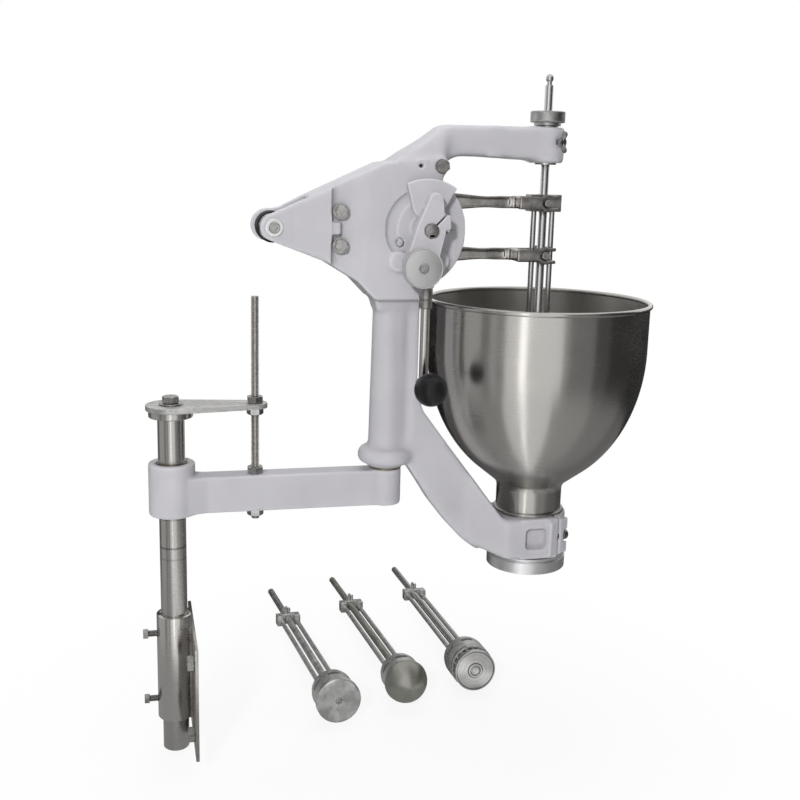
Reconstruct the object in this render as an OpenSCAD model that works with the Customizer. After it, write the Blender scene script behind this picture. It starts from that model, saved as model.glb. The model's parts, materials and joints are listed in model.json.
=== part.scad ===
// Manual donut depositor. A hopper and a plunger hang on a cast frame, the frame swivels
// on an arm, and the arm turns on a column that a bracket plate holds beside a fryer.
// Millimetres, +Z up, +X from the column towards the hopper, front at -Y.
// The origin is the middle of the bracket plate's outer face.

/* [Bracket] */
// Width of the bracket plate, front to back
plate_w = 150; // [130:1:180]
// Height of the bracket plate
plate_h = 140; // [125:1:170]
// Thickness of the bracket plate
plate_t = 4; // [3:0.5:8]
// Distance between the plate's holes, front to back
hole_span_y = 110; // [90:1:120]
// Distance between the plate's holes, top to bottom
hole_span_z = 90; // [70:1:100]
// Radius of the plate's holes
plate_hole_r = 5.25; // [4:0.25:6]
// Height of the weld nuts behind the holes
weld_nut_h = 8; // [6:0.5:10]
// Outside radius of the column sleeve
sleeve_r = 21; // [20:0.5:25]
// Length of the column sleeve
sleeve_len = 132; // [110:1:150]
// How far the sleeve reaches below the plate's middle
sleeve_drop = 45; // [40:1:55]
// Depth of the flat on the sleeve where the plate is welded
sleeve_flat = 1.5; // [1:0.1:2]
// Radius of the two set screws
set_screw_r = 4; // [3:0.25:5]
// Height of the upper set screw above the plate's middle
set_screw_up = 62; // [45:1:70]
// Depth of the lower set screw below the plate's middle
set_screw_down = 22; // [10:1:35]

/* [Column and lift] */
// Radius of the column
column_r = 15.5; // [14:0.25:16]
// Length of the column
column_len = 415; // [390:1:450]
// How far the column's foot lies below the plate's middle
column_drop = 87; // [75:1:100]
// Radius of the disc on the column's top
lift_disc_r = 25.5; // [22:0.5:27]
// Thickness of that disc
lift_disc_t = 8; // [5:0.5:10]
// Radius of the lift plate's head
lift_head_r = 28.7; // [27.5:0.1:32]
// Radius of the lift plate's rod end
lift_end_r = 14.5; // [12:0.5:17]
// Thickness of the lift plate
lift_plate_t = 6; // [4:0.5:9]
// Distance from the column to the height rod
rod_offset = 97; // [85:1:115]
// Radius of the height rod and of the bolt on the column
rod_r = 4.9; // [4:0.1:5.5]
// Length of the height rod
height_rod_len = 266; // [240:1:300]
// How far the height rod reaches below the arm
height_rod_tail = 12; // [9:1:20]
// Width across the flats of the rod's nuts
nut_af = 17; // [15:0.5:19]
// Height of the rod's nuts
nut_h = 8; // [6:0.5:10]

/* [Swing arm] */
// Distance from the column to the frame's swivel axis
arm_reach = 255; // [230:1:290]
// Height of the arm's beam above the plate's middle
arm_z = 235; // [215:1:245]
// Height of the beam
beam_h = 44; // [36:1:48]
// Depth of the beam, front to back
beam_w = 28; // [22:1:34]
// Outside radius of the hub on the column
hub_r = 27; // [24:0.5:30]
// Length of the hub
hub_h = 63; // [52:1:70]
// How far the hub reaches below the middle of the beam
hub_below = 24; // [22:1:28]
// Wall of the bush between hub and column
arm_bush_wall = 2; // [1.5:0.25:3]
// Radius of the boss under the frame
boss_r = 19.5; // [17:0.5:22]
// Height of the boss above the top of the beam
boss_rise = 1; // [0.5:0.5:4]
// Radius of the swivel pin
swivel_r = 10; // [8:0.5:11]
// How far the swivel pin reaches up into the frame
swivel_up = 110; // [80:1:140]
// How far the swivel pin reaches down into the boss
swivel_down = 34; // [20:1:40]
// Thickness of the thrust washer on the boss
thrust_t = 2; // [1:0.25:4]

/* [Frame casting] */
// Height of the lever pivot and of the main shaft above the foot of the frame
pivot_h = 287; // [280:1:295]
// Distance from the swivel axis back to the lever pivot in the nose
nose_reach = 141; // [135:1:150]
// Distance from the swivel axis forward to the main shaft
shaft_dx = 32; // [28:1:36]
// Distance from the swivel axis to the plunger's axis
throat = 188; // [184:1:200]
// Radius of the nose's front lug
nose_r = 15; // [13:0.5:17]
// Radius of the nose's rear lug
rear_lug_r = 22; // [20:0.5:24]
// Radius of the round cam housing
housing_r = 69; // [66:0.5:72]
// Depth from the plunger's plane to the front face of the casting
front_depth = 36; // [35:0.5:42]
// Thickness of the front wall
front_wall = 8; // [6:0.5:9]
// How far the nose's thick end stands proud of the front face
nose_step = 6; // [3:0.5:8]
// Depth from the plunger's plane to the joint with the rear cover
rear_depth = 24; // [24:0.5:30]
// Thickness of the rear cover
cover_t = 8; // [6:0.5:10]
// Radius of the swivel tube at its top
tube_top_r = 18.5; // [17:0.5:21]
// Radius of the swivel tube at its foot
tube_foot_r = 21.5; // [19:0.5:23]
// Radius of the collar at the tube's foot
tube_collar_r = 25; // [22:0.5:26]
// Height of the collar at the tube's foot
tube_collar_h = 28; // [20:1:34]
// Half depth of the hopper arm, front to back
hopper_arm_half = 18; // [15:0.5:20]
// Half depth of the top arm, front to back
top_arm_half = 19; // [15:0.5:21]
// Height of the top arm's underside above the pivot level
top_arm_up = 83; // [80:1:90]
// Height of the top arm's section
top_arm_h = 36; // [30:1:42]
// Radius of the guide boss at the end of the top arm
guide_boss_r = 21.5; // [20:0.5:24]
// Length of the guide boss
guide_boss_h = 45; // [40:1:50]
// How far the guide boss reaches below the top arm
guide_boss_below = 7; // [3:0.5:7]

/* [Hopper clamp and cylinder] */
// Depth of the clamp's top below the frame's foot
clamp_drop = 64; // [60:1:70]
// Height of the clamp
clamp_h = 52; // [46:1:58]
// Outside radius of the clamp
clamp_r = 47; // [45:0.5:50]
// Width of the clamp's split
split_w = 3; // [2:0.5:5]
// Radius of the clamp screw
clamp_screw_r = 4; // [3:0.25:5]
// Outside radius of the hopper's rim roll
rim_r = 137.5; // [130:0.5:142]
// Height of the hopper's rim above the frame's foot
rim_up = 200; // [190:1:205]
// Length of the bowl's straight side
bowl_straight = 55; // [45:1:70]
// Depth of the ellipse that the bowl's round part follows
bowl_deep = 176; // [165:1:185]
// Wall of the hopper
hopper_wall = 2; // [1.5:0.25:3]
// Outside radius of the hopper's neck
neck_r = 41; // [40:0.5:43]
// Radius of the collar on the neck
neck_collar_r = 44; // [43:0.5:46]
// Thickness of the collar on the neck
neck_collar_t = 4; // [3:0.5:6]
// Outside radius of the spigot in the clamp
spigot_r = 38; // [36:0.5:39]
// Radius of the cylinder's bore
bore_r = 26.3; // [24:0.1:28]
// Radius of the cylinder's foot ring
foot_ring_r = 49.5; // [46:0.5:54]
// Height of the cylinder's foot ring
foot_ring_h = 19; // [14:1:24]
// Gap between the clamp and the foot ring
foot_gap = 1; // [0.5:0.5:6]

/* [Plunger] */
// Radius of the plunger's centre rod
core_r = 5; // [4:0.25:5.5]
// Radius of the plunger's side rods
side_rod_r = 3.3; // [2.5:0.1:3.5]
// Distance of each side rod from the axis
side_rod_dx = 11.6; // [11:0.1:13]
// Height of the levers' forks above and below the pivot level
fork_h = 31; // [28:1:34]
// Length of the upper yoke
yoke_len = 39; // [36:1:42]
// Height of the upper yoke
yoke_h = 20; // [16:1:20]
// Depth of the upper yoke
yoke_w = 18; // [16:1:20]
// Radius of the studs in the forks
stud_r = 4.8; // [4:0.1:5.2]
// Length of a stud from the plunger's axis to its end
stud_reach = 19; // [18:0.5:22]
// Length of the plunger's sleeve
sleeve_h = 80; // [60:1:90]
// Wall of the plunger's sleeve
sleeve_wall = 3; // [2:0.25:4]
// Thickness of the plunger's disc
disc_t = 8; // [5:0.5:12]
// How far the centre rod stands above the guide boss
core_up = 59; // [45:1:70]

/* [Levers and cams] */
// Height of the lever bars
lever_h = 16; // [14:0.5:17]
// Thickness of the lever bars
lever_t = 10; // [8:0.5:10.5]
// Radius of the levers' hubs
lever_hub_r = 12; // [10:0.5:13]
// Thickness of a fork's prongs
prong_t = 6.5; // [5:0.5:6.5]
// Throw of the cam under the feed lever
feed_throw = 9.5; // [6:0.1:9.5]
// Throw of the cam over the cutter lever
cutter_throw = 8.3; // [5:0.1:8.3]
// Radius of the lever pivot in the nose
pivot_r = 5; // [4:0.25:6]
// Mean radius of the return spring
spring_r = 16.4; // [15.5:0.1:17]
// Radius of the spring's wire
wire_r = 1.6; // [1:0.1:1.6]
// Number of the spring's turns
spring_turns = 5; // [3:1:5]

/* [Crank] */
// Radius of the main shaft
shaft_r = 8; // [7:0.25:9]
// Gap between the casting's front face and the crank's sector
sector_gap = 5; // [4.5:0.5:8]
// Thickness of the crank's sector
sector_t = 9; // [5:0.5:12]
// Outside radius of the crank's sector
sector_r = 57; // [50:0.5:58]
// Thickness of the crank arm
crank_t = 16; // [12:0.5:18]
// Radius of the crank arm round the shaft
crank_hub_r = 17; // [15:0.5:19]
// Radius of the crank's disc
crank_disc_r = 20.6; // [18:0.2:22]
// Thickness of the crank's disc
crank_disc_t = 12; // [8:0.5:14]
// Radius of the handle rod
handle_r = 5.5; // [4.5:0.25:6]
// Distance from the shaft down to the ball knob's stud
handle_len = 176; // [150:1:200]
// Radius of the ball knob
ball_r = 19; // [16:0.5:21]
// Distance from the handle rod forward to the ball's middle
ball_out = 34; // [30:0.5:44]
// Radius of the ball knob's stud
ball_stud_r = 4; // [3:0.25:5]

/* [Spare plungers] */
// Radius of the spare plungers' heads
spare_r = 29.5; // [26:0.5:31]
// Distance from a spare's head to its yoke
spare_len = 322; // [290:1:345]
// Length of a spare's centre rod beyond the yoke
spare_tip = 142; // [120:1:160]

/* [Hidden] */
$fn = 64;
// Radial play of a running fit
run_fit = 0.06;
// Room between flat faces that slide on each other
face_gap = 0.1;
// Room between round pieces that pass each other
free_gap = 0.3;
// Overlap of shapes that are joined or cut
eps = 0.01;
// How far a cut runs past what it cuts
cut_over = 60;

column_x = -(plate_t + sleeve_r - sleeve_flat);
column_foot = -column_drop;
column_top = column_foot + column_len;
lift_plate_z = column_top + lift_disc_t + face_gap;
lift_plate_top = lift_plate_z + lift_plate_t;
washer_t = 2;
washer_r = 13.5;
bolt_deep = 22;
set_head_h = 6;
set_stand = 10;

swivel_x = column_x + arm_reach;
rod_x = column_x + rod_offset;
beam_z0 = arm_z - beam_h / 2;
beam_z1 = arm_z + beam_h / 2;
hub_z0 = arm_z - hub_below;
boss_z1 = beam_z1 + boss_rise;
bush_r = column_r + run_fit + arm_bush_wall;
frame_z = boss_z1 + thrust_t + face_gap;
rod_z0 = beam_z0 - height_rod_tail;

// Places in the frame's own plane, as [X from the swivel axis, height above the frame's foot]
nose = [-nose_reach, pivot_h];
shaft = [shaft_dx, pivot_h];
housing = [shaft_dx - 20, pivot_h - 2];
nose_top = nose + nose_r * [cos(112), sin(112)];
nose_foot = nose + nose_r * [cos(248), sin(248)];
shoulder = [-80, pivot_h + 44];
brow = [-16, pivot_h + 74];
crown = [22, pivot_h + 97];
brow_end = [36, pivot_h + 80];
notch = [57, pivot_h + 63];
belly = [-82, pivot_h - 38];
belly_low = [-45, pivot_h - 60];
body_foot_z = pivot_h - 82;
web_x = 34;
front_y = -front_depth;
wall_y = front_y + front_wall;
lug_y = front_y - 1;
lug_flat_x = nose[0] + 22;
cover_y = rear_depth + cover_t;
rear_lug_len = 40;
nose_slot_x = -100;
step_x = -77;
top_arm_z = pivot_h + top_arm_up;
guide_z0 = top_arm_z - guide_boss_below;
guide_z1 = guide_z0 + guide_boss_h;
guide_bush_r = 13;
guide_stub_r = 9;
guide_stub_h = 12;
clamp_z1 = -clamp_drop;
clamp_z0 = clamp_z1 - clamp_h;
split_angle = -60;
clamp_screw_out = (clamp_r + spigot_r) / 2 + 4;
ear_half = 17;
screw_sunk = 7;
ear_out = clamp_screw_out + 6;
// Flat front of the clamp with its pocket
cheek_x0 = throat - 42;
cheek_x1 = throat + 22;
cheek_y = -clamp_r - 1.5;
pocket_side = 26;
pocket_corner = 4;
pocket_dx = -5;
pocket_floor = 3.5;
pad_bolt_x = -66;
pad_bolt_dz = 19;
cover_bolt = [50, pivot_h + 71];
cover_screws = [[14, pivot_h + 69], [4, pivot_h - 70]];
cover_screw_deep = 12;
bolt_lug_r = 11;
bolt_af = 13;
bolt_head_h = 6;
bolt_r = 4;
front_bush_r = shaft_r + 4;
stop_at = shaft + [-30, -15];
stop_head_r = 5;

// Levers: the feed lever runs beside the plunger's plane, the cutter lever behind it
feed_y0 = 0.3;
feed_y1 = feed_y0 + lever_t;
cutter_y0 = feed_y1 + 0.6;
cutter_y1 = cutter_y0 + lever_t;
fork_bridge_x = throat - 36;
fork_bridge_w = 9;
prong_y0 = stud_reach - prong_t - 1;
prong_tip_x = throat + 13;
slot_half = stud_r + free_gap;
yoke_z = pivot_h + fork_h;
collar_z = pivot_h - fork_h;
feed_cam_r = fork_h - lever_h / 2 - free_gap + feed_throw;
cutter_cam_r = fork_h - lever_h / 2 - free_gap + cutter_throw;

// Spring: wound from the front lug to the feed lever's hub, its ends turned along the pivot
spring_y0 = wall_y + free_gap;
spring_y1 = feed_y0 - free_gap;
spring_end = 2 * wire_r;
spring_rings = 8;
spring_sides = 6;
spring_pitch = (spring_y1 - spring_y0 - 2 * spring_end) / spring_turns;

// Crank, seen from the shaft
sector_y1 = front_y - sector_gap;
sector_y0 = sector_y1 - sector_t;
crank_y0 = sector_y0 - crank_t;
crank_mid_y = sector_y0 - crank_t / 2;
disc_at = [-11, -41];
tail_at = [5, 34];
tail_r = 8;
crank_boss_r = 18.5;
handle_dx = -2.5;
handle_top = disc_at[1] - 10;
crank_bolt_head_r = 5;
crank_bolt_seat = 11.5;
socket_len = 36;
socket_r = handle_r + 3.5;
eye_half = handle_r - 1.5;
ball_y = crank_mid_y - ball_out;
shaft_front = crank_y0 - 3;
shaft_rear = cover_y + 14;

// Plunger and hopper
cage_r = bore_r - free_gap;
sleeve_z0 = clamp_z0 - foot_gap - foot_ring_h + 4;
sleeve_z1 = sleeve_z0 + sleeve_h;
core_z1 = guide_z1 + core_up;
cylinder_top = clamp_z1 + 39;
cylinder_r = spigot_r - hopper_wall - run_fit;
bowl_r = rim_r - 3;
bowl_arc_z = rim_up - bowl_straight;
bowl_arc = 59;
bowl_steps = 14;
rim_roll_r = 3;

// Spare plungers: place of the head's foot on the surface, and heading of the axis
surface_z = column_foot;
spare_yoke_h = 16;
spare_tilt = asin((spare_r - spare_yoke_h / 2) / spare_len);
spare_sleeve_h = 34;
wide_neck_h = 9;
wide_lip_h = 6;
wide_nut_h = 3;
spare_places = [[182.5, 17.5], [281, 51.5], [381.5, 81.5]];
spare_headings = [3.7, 2.2, 0];

// Helpers

// Draws its 2D children, given as X and height, as a slab from y0 back to y1
module slab(y0, y1) {
    translate([0, y1, 0]) rotate([90, 0, 0]) linear_extrude(y1 - y0) children();
}

// Round bar along Y from y0 to y1 at a point of the frame's plane
module bar_y(at, r, y0, y1) {
    translate([at[0], y1, at[1]]) rotate([90, 0, 0]) cylinder(r = r, h = y1 - y0);
}

// Hexagonal bar along Y
module hex_y(at, af, y0, y1) {
    translate([at[0], y1, at[1]]) rotate([90, 0, 0]) cylinder(d = af / cos(30), h = y1 - y0, $fn = 6);
}

// Round bar along X from x0 to x1 at a height
module bar_x(r, x0, x1, z) {
    translate([x0, 0, z]) rotate([0, 90, 0]) cylinder(r = r, h = x1 - x0);
}

module tube(r_out, r_in, h) {
    difference() {
        cylinder(r = r_out, h = h);
        translate([0, 0, -1]) cylinder(r = r_in, h = h + 2);
    }
}

module hex_nut(af, h, hole_r) {
    difference() {
        cylinder(d = af / cos(30), h = h, $fn = 6);
        translate([0, 0, -1]) cylinder(r = hole_r, h = h + 2);
    }
}

// Two circles and the straight sides that touch both
module link_2d(p1, r1, p2, r2) {
    run = p2 - p1;
    heading = atan2(run[1], run[0]);
    lean = acos((r1 - r2) / norm(run));
    left = heading + lean;
    right = heading - lean;
    translate(p1) circle(r1);
    translate(p2) circle(r2);
    polygon([
        p1 + r1 * [cos(left), sin(left)], p1 + r1 * [cos(right), sin(right)],
        p2 + r2 * [cos(right), sin(right)], p2 + r2 * [cos(left), sin(left)]
    ]);
}

// Moves its children from the frame's own place to the row's frame
module on_frame() {
    translate([swivel_x, 0, frame_z]) children();
}

module on_column() {
    translate([column_x, 0, 0]) children();
}

// Bracket

module mount_plate() {
    color("silver") difference() {
        translate([-plate_t, -plate_w / 2, -plate_h / 2]) cube([plate_t, plate_w, plate_h]);
        for (y = [-1, 1], z = [-1, 1])
            translate([0, y * hole_span_y / 2, 0])
                bar_x(plate_hole_r, -plate_t - 1, 1, z * hole_span_z / 2);
    }
}

module weld_nuts() {
    color("gainsboro")
    for (y = [-1, 1], z = [-1, 1])
        translate([-plate_t - weld_nut_h, y * hole_span_y / 2, z * hole_span_z / 2])
            rotate([0, 90, 0]) hex_nut(2 * plate_hole_r + 7, weld_nut_h, plate_hole_r);
}

module column_sleeve() {
    color("silver") difference() {
        on_column() translate([0, 0, -sleeve_drop]) tube(sleeve_r, column_r + run_fit, sleeve_len);
        translate([-plate_t, -sleeve_r, -sleeve_drop - 1]) cube([sleeve_r, 2 * sleeve_r, sleeve_len + 2]);
        for (z = [set_screw_up, -set_screw_down])
            on_column() bar_x(set_screw_r + run_fit, -sleeve_r - 1, -column_r + 2, z);
    }
}

// Beads along both sides of the sleeve's flat, as far as plate and sleeve run together
module sleeve_welds() {
    bead = 5;
    leg = 3;
    flat_x = sleeve_r - sleeve_flat;
    low = max(-sleeve_drop, -plate_h / 2);
    high = min(sleeve_len - sleeve_drop, plate_h / 2);
    root = sqrt(pow(sleeve_r, 2) - pow(flat_x, 2)) + 2 * free_gap;
    crest = sqrt(pow(sleeve_r, 2) - pow(flat_x - leg, 2)) + 2 * free_gap;
    color("gray")
    for (side = [-1, 1])
        translate([-plate_t, 0, low]) linear_extrude(high - low)
            polygon([[0, side * root], [0, side * (root + bead)], [-leg, side * crest]]);
}

module set_screw(z) {
    on_column() {
        bar_x(set_screw_r, -sleeve_r - set_stand - eps, -column_r - free_gap, z);
        translate([-sleeve_r - set_stand - set_head_h, 0, z])
            rotate([0, 90, 0]) cylinder(r = set_screw_r + 2.2, h = set_head_h, $fn = 6);
    }
}

module set_screw_upper() { color("gainsboro") set_screw(set_screw_up); }
module set_screw_lower() { color("gainsboro") set_screw(-set_screw_down); }

// Column and lift

module column() {
    color("silver") on_column() difference() {
        translate([0, 0, column_foot]) cylinder(r = column_r, h = column_len);
        translate([0, 0, column_top - bolt_deep]) cylinder(r = rod_r, h = bolt_deep + 1);
    }
}

module lift_disc() {
    color("silver") on_column() translate([0, 0, column_top]) tube(lift_disc_r, rod_r, lift_disc_t);
}

module lift_plate() {
    color("silver") on_column() translate([0, 0, lift_plate_z]) difference() {
        linear_extrude(lift_plate_t) link_2d([0, 0], lift_head_r, [rod_offset, 0], lift_end_r);
        translate([0, 0, -1]) cylinder(r = rod_r + run_fit, h = lift_plate_t + 2);
        translate([rod_offset, 0, -1]) cylinder(r = rod_r + run_fit, h = lift_plate_t + 2);
    }
}

// Bolt and washer that hold the lift plate down on the column
module lift_bolt() {
    color("gainsboro") on_column() {
        translate([0, 0, lift_plate_top + face_gap]) cylinder(r = washer_r, h = washer_t);
        translate([0, 0, column_top - bolt_deep])
            cylinder(r = rod_r, h = lift_plate_top - column_top + bolt_deep + face_gap + eps);
        translate([0, 0, lift_plate_top + face_gap + washer_t - eps])
            cylinder(d = nut_af / cos(30), h = nut_h, $fn = 6);
    }
}

module height_rod() {
    color("gainsboro") translate([rod_x, 0, rod_z0]) cylinder(r = rod_r, h = height_rod_len);
}

// Nuts above and below the lift plate, which the rod is screwed up and down through
module rod_nuts() {
    color("silver") translate([rod_x, 0, 0])
    for (z = [lift_plate_top, lift_plate_z - nut_h])
        translate([0, 0, z]) hex_nut(nut_af, nut_h, rod_r + run_fit);
}

// Swing arm

module swing_arm() {
    boss_h = boss_z1 - beam_z0;
    color("lightgray") difference() {
        union() {
            on_column() translate([0, 0, hub_z0]) cylinder(r = hub_r, h = hub_h);
            translate([column_x, -beam_w / 2, beam_z0]) cube([arm_reach, beam_w, beam_h]);
            // flare that carries the beam into the hub
            on_column() translate([0, 0, beam_z0]) linear_extrude(beam_h)
                polygon([[0, -hub_r], [0, hub_r], [hub_r + 12, beam_w / 2], [hub_r + 12, -beam_w / 2]]);
            translate([swivel_x, 0, beam_z0]) cylinder(r = boss_r, h = boss_h);
        }
        on_column() translate([0, 0, hub_z0 - 1]) cylinder(r = bush_r, h = hub_h + 2);
        translate([rod_x, 0, beam_z0 - 1]) cylinder(r = rod_r + free_gap, h = beam_h + 2);
        translate([swivel_x, 0, boss_z1 - swivel_down]) cylinder(r = swivel_r, h = swivel_down + 1);
    }
}

module arm_bush() {
    color("darkgoldenrod") on_column() translate([0, 0, hub_z0]) tube(bush_r, column_r + run_fit, hub_h);
}

// Nuts that hold the rod in the arm
module arm_nuts() {
    color("silver") translate([rod_x, 0, 0])
    for (z = [beam_z1, beam_z0 - nut_h])
        translate([0, 0, z]) hex_nut(nut_af, nut_h, rod_r);
}

module swivel_pin() {
    color("silver") translate([swivel_x, 0, boss_z1 - swivel_down])
        cylinder(r = swivel_r, h = swivel_down + swivel_up);
}

module thrust_washer() {
    color("darkgoldenrod") translate([swivel_x, 0, boss_z1]) tube(boss_r, swivel_r, thrust_t);
}

// Frame casting

// Face of the body between the nose, the housing and the swivel tube
module body_2d() {
    translate(nose) circle(nose_r);
    translate(housing) circle(housing_r);
    translate(cover_bolt) circle(bolt_lug_r);
    polygon([
        nose_top, shoulder, brow, brow_end, cover_bolt, notch, housing,
        [web_x, body_foot_z], [-24, body_foot_z], belly_low, belly, nose_foot, nose
    ]);
}

// Room inside the body for the levers and the cams, open towards the plunger
module cavity_2d() {
    room = 100;
    polygon([
        [nose_slot_x - 1, pivot_h + 27], [shoulder[0] - 3, shoulder[1] - 10], [brow[0] - 4, brow[1] - 12],
        [housing[0] + room, brow[1] - 12], [housing[0] + room, pivot_h - 58], [0, pivot_h - 58],
        [belly_low[0] + 4, belly_low[1] + 11], [belly[0] + 3, belly[1] + 7], [nose_slot_x - 1, pivot_h - 26]
    ]);
}

// Side of the arm that runs from the body down to the hopper's clamp
module hopper_arm_2d() {
    polygon([
        [0, body_foot_z + 10], [web_x, body_foot_z + 10], [web_x, 97], [42, 70], [66, 38], [90, 7],
        [118, clamp_z1 + 34], [118, clamp_z0 + 4], [97, clamp_z0 + 20], [75, -72], [54, -45], [34, -13],
        [20, 8], [0, tube_collar_h]
    ]);
}

// Side of the arm's lower end, where it widens into the clamp
module arm_end_2d() {
    polygon([
        [99, clamp_z0 + 18], [99, -5], [throat - clamp_r + 1, clamp_z1], [throat + clamp_r + 1, clamp_z1],
        [throat + clamp_r + 1, clamp_z0], [122, clamp_z0]
    ]);
}

// Side of the top arm from the body to the guide boss
module top_arm_2d() {
    top = top_arm_z + top_arm_h;
    polygon([
        [brow[0], brow[1] - 5], [crown[0], crown[1] - 4], [55, top - 1], [throat - 32, top], [throat, top],
        [throat, top_arm_z - 2], [throat - 40, top_arm_z - 2], [107, top_arm_z], [75, top_arm_z],
        [62, top_arm_z - 6], [40, pivot_h + 63]
    ]);
}

// Crescent groove left of the shaft
module recess_2d() {
    outer_r = 46;
    inner_r = 36;
    far = 80;
    intersection() {
        difference() {
            translate(shaft) circle(outer_r);
            translate(shaft + [3, 0]) circle(inner_r);
        }
        polygon(concat([shaft], [for (a = [115, 150, 185, 216]) shaft + far * [cos(a), sin(a)]]));
    }
}

module clamp_ears() {
    translate([throat, 0, 0]) rotate([0, 0, split_angle])
        translate([spigot_r + 2, -ear_half, clamp_z0 + 3])
            cube([ear_out - spigot_r - 2, 2 * ear_half, clamp_h - 6]);
}

// The screw across the split, along the ears' thickness
module clamp_screw_bar(r, y0, y1) {
    translate([throat, 0, 0]) rotate([0, 0, split_angle])
        translate([0, 0, clamp_z0 + clamp_h / 2]) bar_y([clamp_screw_out, 0], r, y0, y1);
}

// Rounded pocket in the clamp's flat front
module clamp_pocket() {
    floor_y = -spigot_r - pocket_floor;
    half = pocket_side / 2;
    inner = half - pocket_corner;
    translate([throat + pocket_dx, 0, clamp_z0 + clamp_h / 2]) {
        for (x = [-inner, inner], z = [-inner, inner])
            bar_y([x, z], pocket_corner, floor_y - cut_over, floor_y);
        translate([-half, floor_y - cut_over, -inner]) cube([2 * half, cut_over, 2 * inner]);
        translate([-inner, floor_y - cut_over, -half]) cube([2 * inner, cut_over, 2 * half]);
    }
}

module frame_solids() {
    slab(front_y, rear_depth) body_2d();
    // nose standing proud of the face, thicker towards its step
    intersection() {
        slab(front_y - nose_step, front_y + eps) body_2d();
        linear_extrude(2 * pivot_h) polygon([
            [step_x - 120, lug_y], [lug_flat_x, lug_y], [step_x, front_y - nose_step], [step_x, 0], [step_x - 120, 0]
        ]);
    }
    // boss and stop lump on the front face
    bar_y(shaft, front_bush_r + 6, front_y - 2, wall_y);
    bar_y(shaft + [-34, -31], 6, front_y - 4, wall_y);
    // swivel tube with the collar at its foot
    translate([0, 0, tube_collar_h - 4])
        cylinder(r1 = tube_foot_r, r2 = tube_top_r, h = body_foot_z - tube_collar_h + 14);
    cylinder(r1 = tube_collar_r - 3, r2 = tube_collar_r, h = 4);
    translate([0, 0, 4 - eps]) cylinder(r = tube_collar_r, h = tube_collar_h - 9 + 2 * eps);
    translate([0, 0, tube_collar_h - 5]) cylinder(r1 = tube_collar_r, r2 = tube_collar_r - 3, h = 5);
    slab(-hopper_arm_half, hopper_arm_half) hopper_arm_2d();
    slab(-top_arm_half, top_arm_half) top_arm_2d();
    translate([throat, 0, guide_z0]) cylinder(r = guide_boss_r, h = guide_boss_h);
    // body drawn in to the tube and the hopper arm
    hull() {
        translate([-26, front_y + 1, body_foot_z + 16]) cube([web_x + 28, rear_depth - front_y - 2, 4]);
        translate([-18, -hopper_arm_half, body_foot_z - 15])
            cube([web_x + 18, 2 * hopper_arm_half, 2]);
    }
    // body drawn in to the top arm
    hull() {
        translate([brow[0], front_y + 1, brow[1] - 12]) cube([62, rear_depth - front_y - 2, 6]);
        translate([56, -top_arm_half, top_arm_z + 2]) cube([8, 2 * top_arm_half, top_arm_h - 6]);
        translate([6, -top_arm_half, crown[1] - 14]) cube([14, 2 * top_arm_half, 2]);
    }
    // hopper arm widened into the clamp
    intersection() {
        slab(-2 * clamp_r, 2 * clamp_r) arm_end_2d();
        hull() {
            translate([99, -hopper_arm_half, clamp_z0 + 18]) cube([2, 2 * hopper_arm_half, -clamp_z0 - 23]);
            translate([throat, 0, clamp_z0]) cylinder(r = clamp_r, h = clamp_h, $fn = 48);
            translate([cheek_x0, cheek_y, clamp_z0]) cube([cheek_x1 - cheek_x0, 2, clamp_h]);
        }
    }
    translate([throat, 0, clamp_z0]) cylinder(r = clamp_r, h = clamp_h);
    clamp_ears();
}

module frame_cuts() {
    // lever room, nose slot and the lugs' pin hole
    slab(wall_y, rear_depth + cut_over) cavity_2d();
    translate([-nose_reach - cut_over, wall_y, pivot_h - cut_over])
        cube([nose_reach + cut_over + nose_slot_x, rear_depth - wall_y + cut_over, 2 * cut_over]);
    bar_y(nose, pivot_r, lug_y - 1, cut_over);
    // shaft's front bush, recess and bolts
    bar_y(shaft, front_bush_r, front_y - 10, wall_y + 1);
    slab(front_y - 6, front_y + 3) recess_2d();
    bar_y(stop_at, 3, front_y - 10, wall_y + 1);
    bar_y(stop_at, stop_head_r + free_gap, front_y - 10, front_y + 3);
    for (side = [-1, 1]) bar_y([pad_bolt_x, pivot_h + side * pad_bolt_dz], bolt_r, front_y - 10, wall_y + 1);
    bar_y(cover_bolt, bolt_r, front_y - 10, rear_depth + 10);
    bar_y([26, pivot_h + 71], 2.6, front_y - 10, front_y + 12);
    for (at = cover_screws) bar_y(at, bolt_r - 1, rear_depth - cover_screw_deep - 2, rear_depth + 10);
    // swivel pin, guide bush and wing screw
    translate([0, 0, -1]) cylinder(r = swivel_r + run_fit, h = swivel_up + 6);
    translate([throat, 0, guide_z0 - 1]) cylinder(r = guide_bush_r, h = guide_boss_h + 2);
    translate([throat, 0, wing_z]) rotate([0, 0, wing_angle])
        bar_x(wing_r + run_fit, guide_bush_r - 2, guide_boss_r + 4, 0);
    // clamp bore, room for the hopper's neck above it, split and screw
    translate([throat, 0, clamp_z0 - 1]) cylinder(r = spigot_r, h = clamp_h + 2);
    translate([throat, 0, clamp_z1]) cylinder(r = clamp_r, h = clamp_drop);
    translate([throat, 0, clamp_z0 - 1]) rotate([0, 0, split_angle])
        translate([spigot_r - 6, -split_w / 2, 0]) cube([ear_out, split_w, clamp_h + 2]);
    clamp_screw_bar(clamp_screw_r + run_fit, -ear_half + 2, cut_over);
    clamp_screw_bar(clamp_screw_r + 5, ear_half - screw_sunk, cut_over);
    clamp_pocket();
}

module frame_casting() {
    color("lightgray") on_frame() difference() {
        frame_solids();
        frame_cuts();
    }
}

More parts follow.
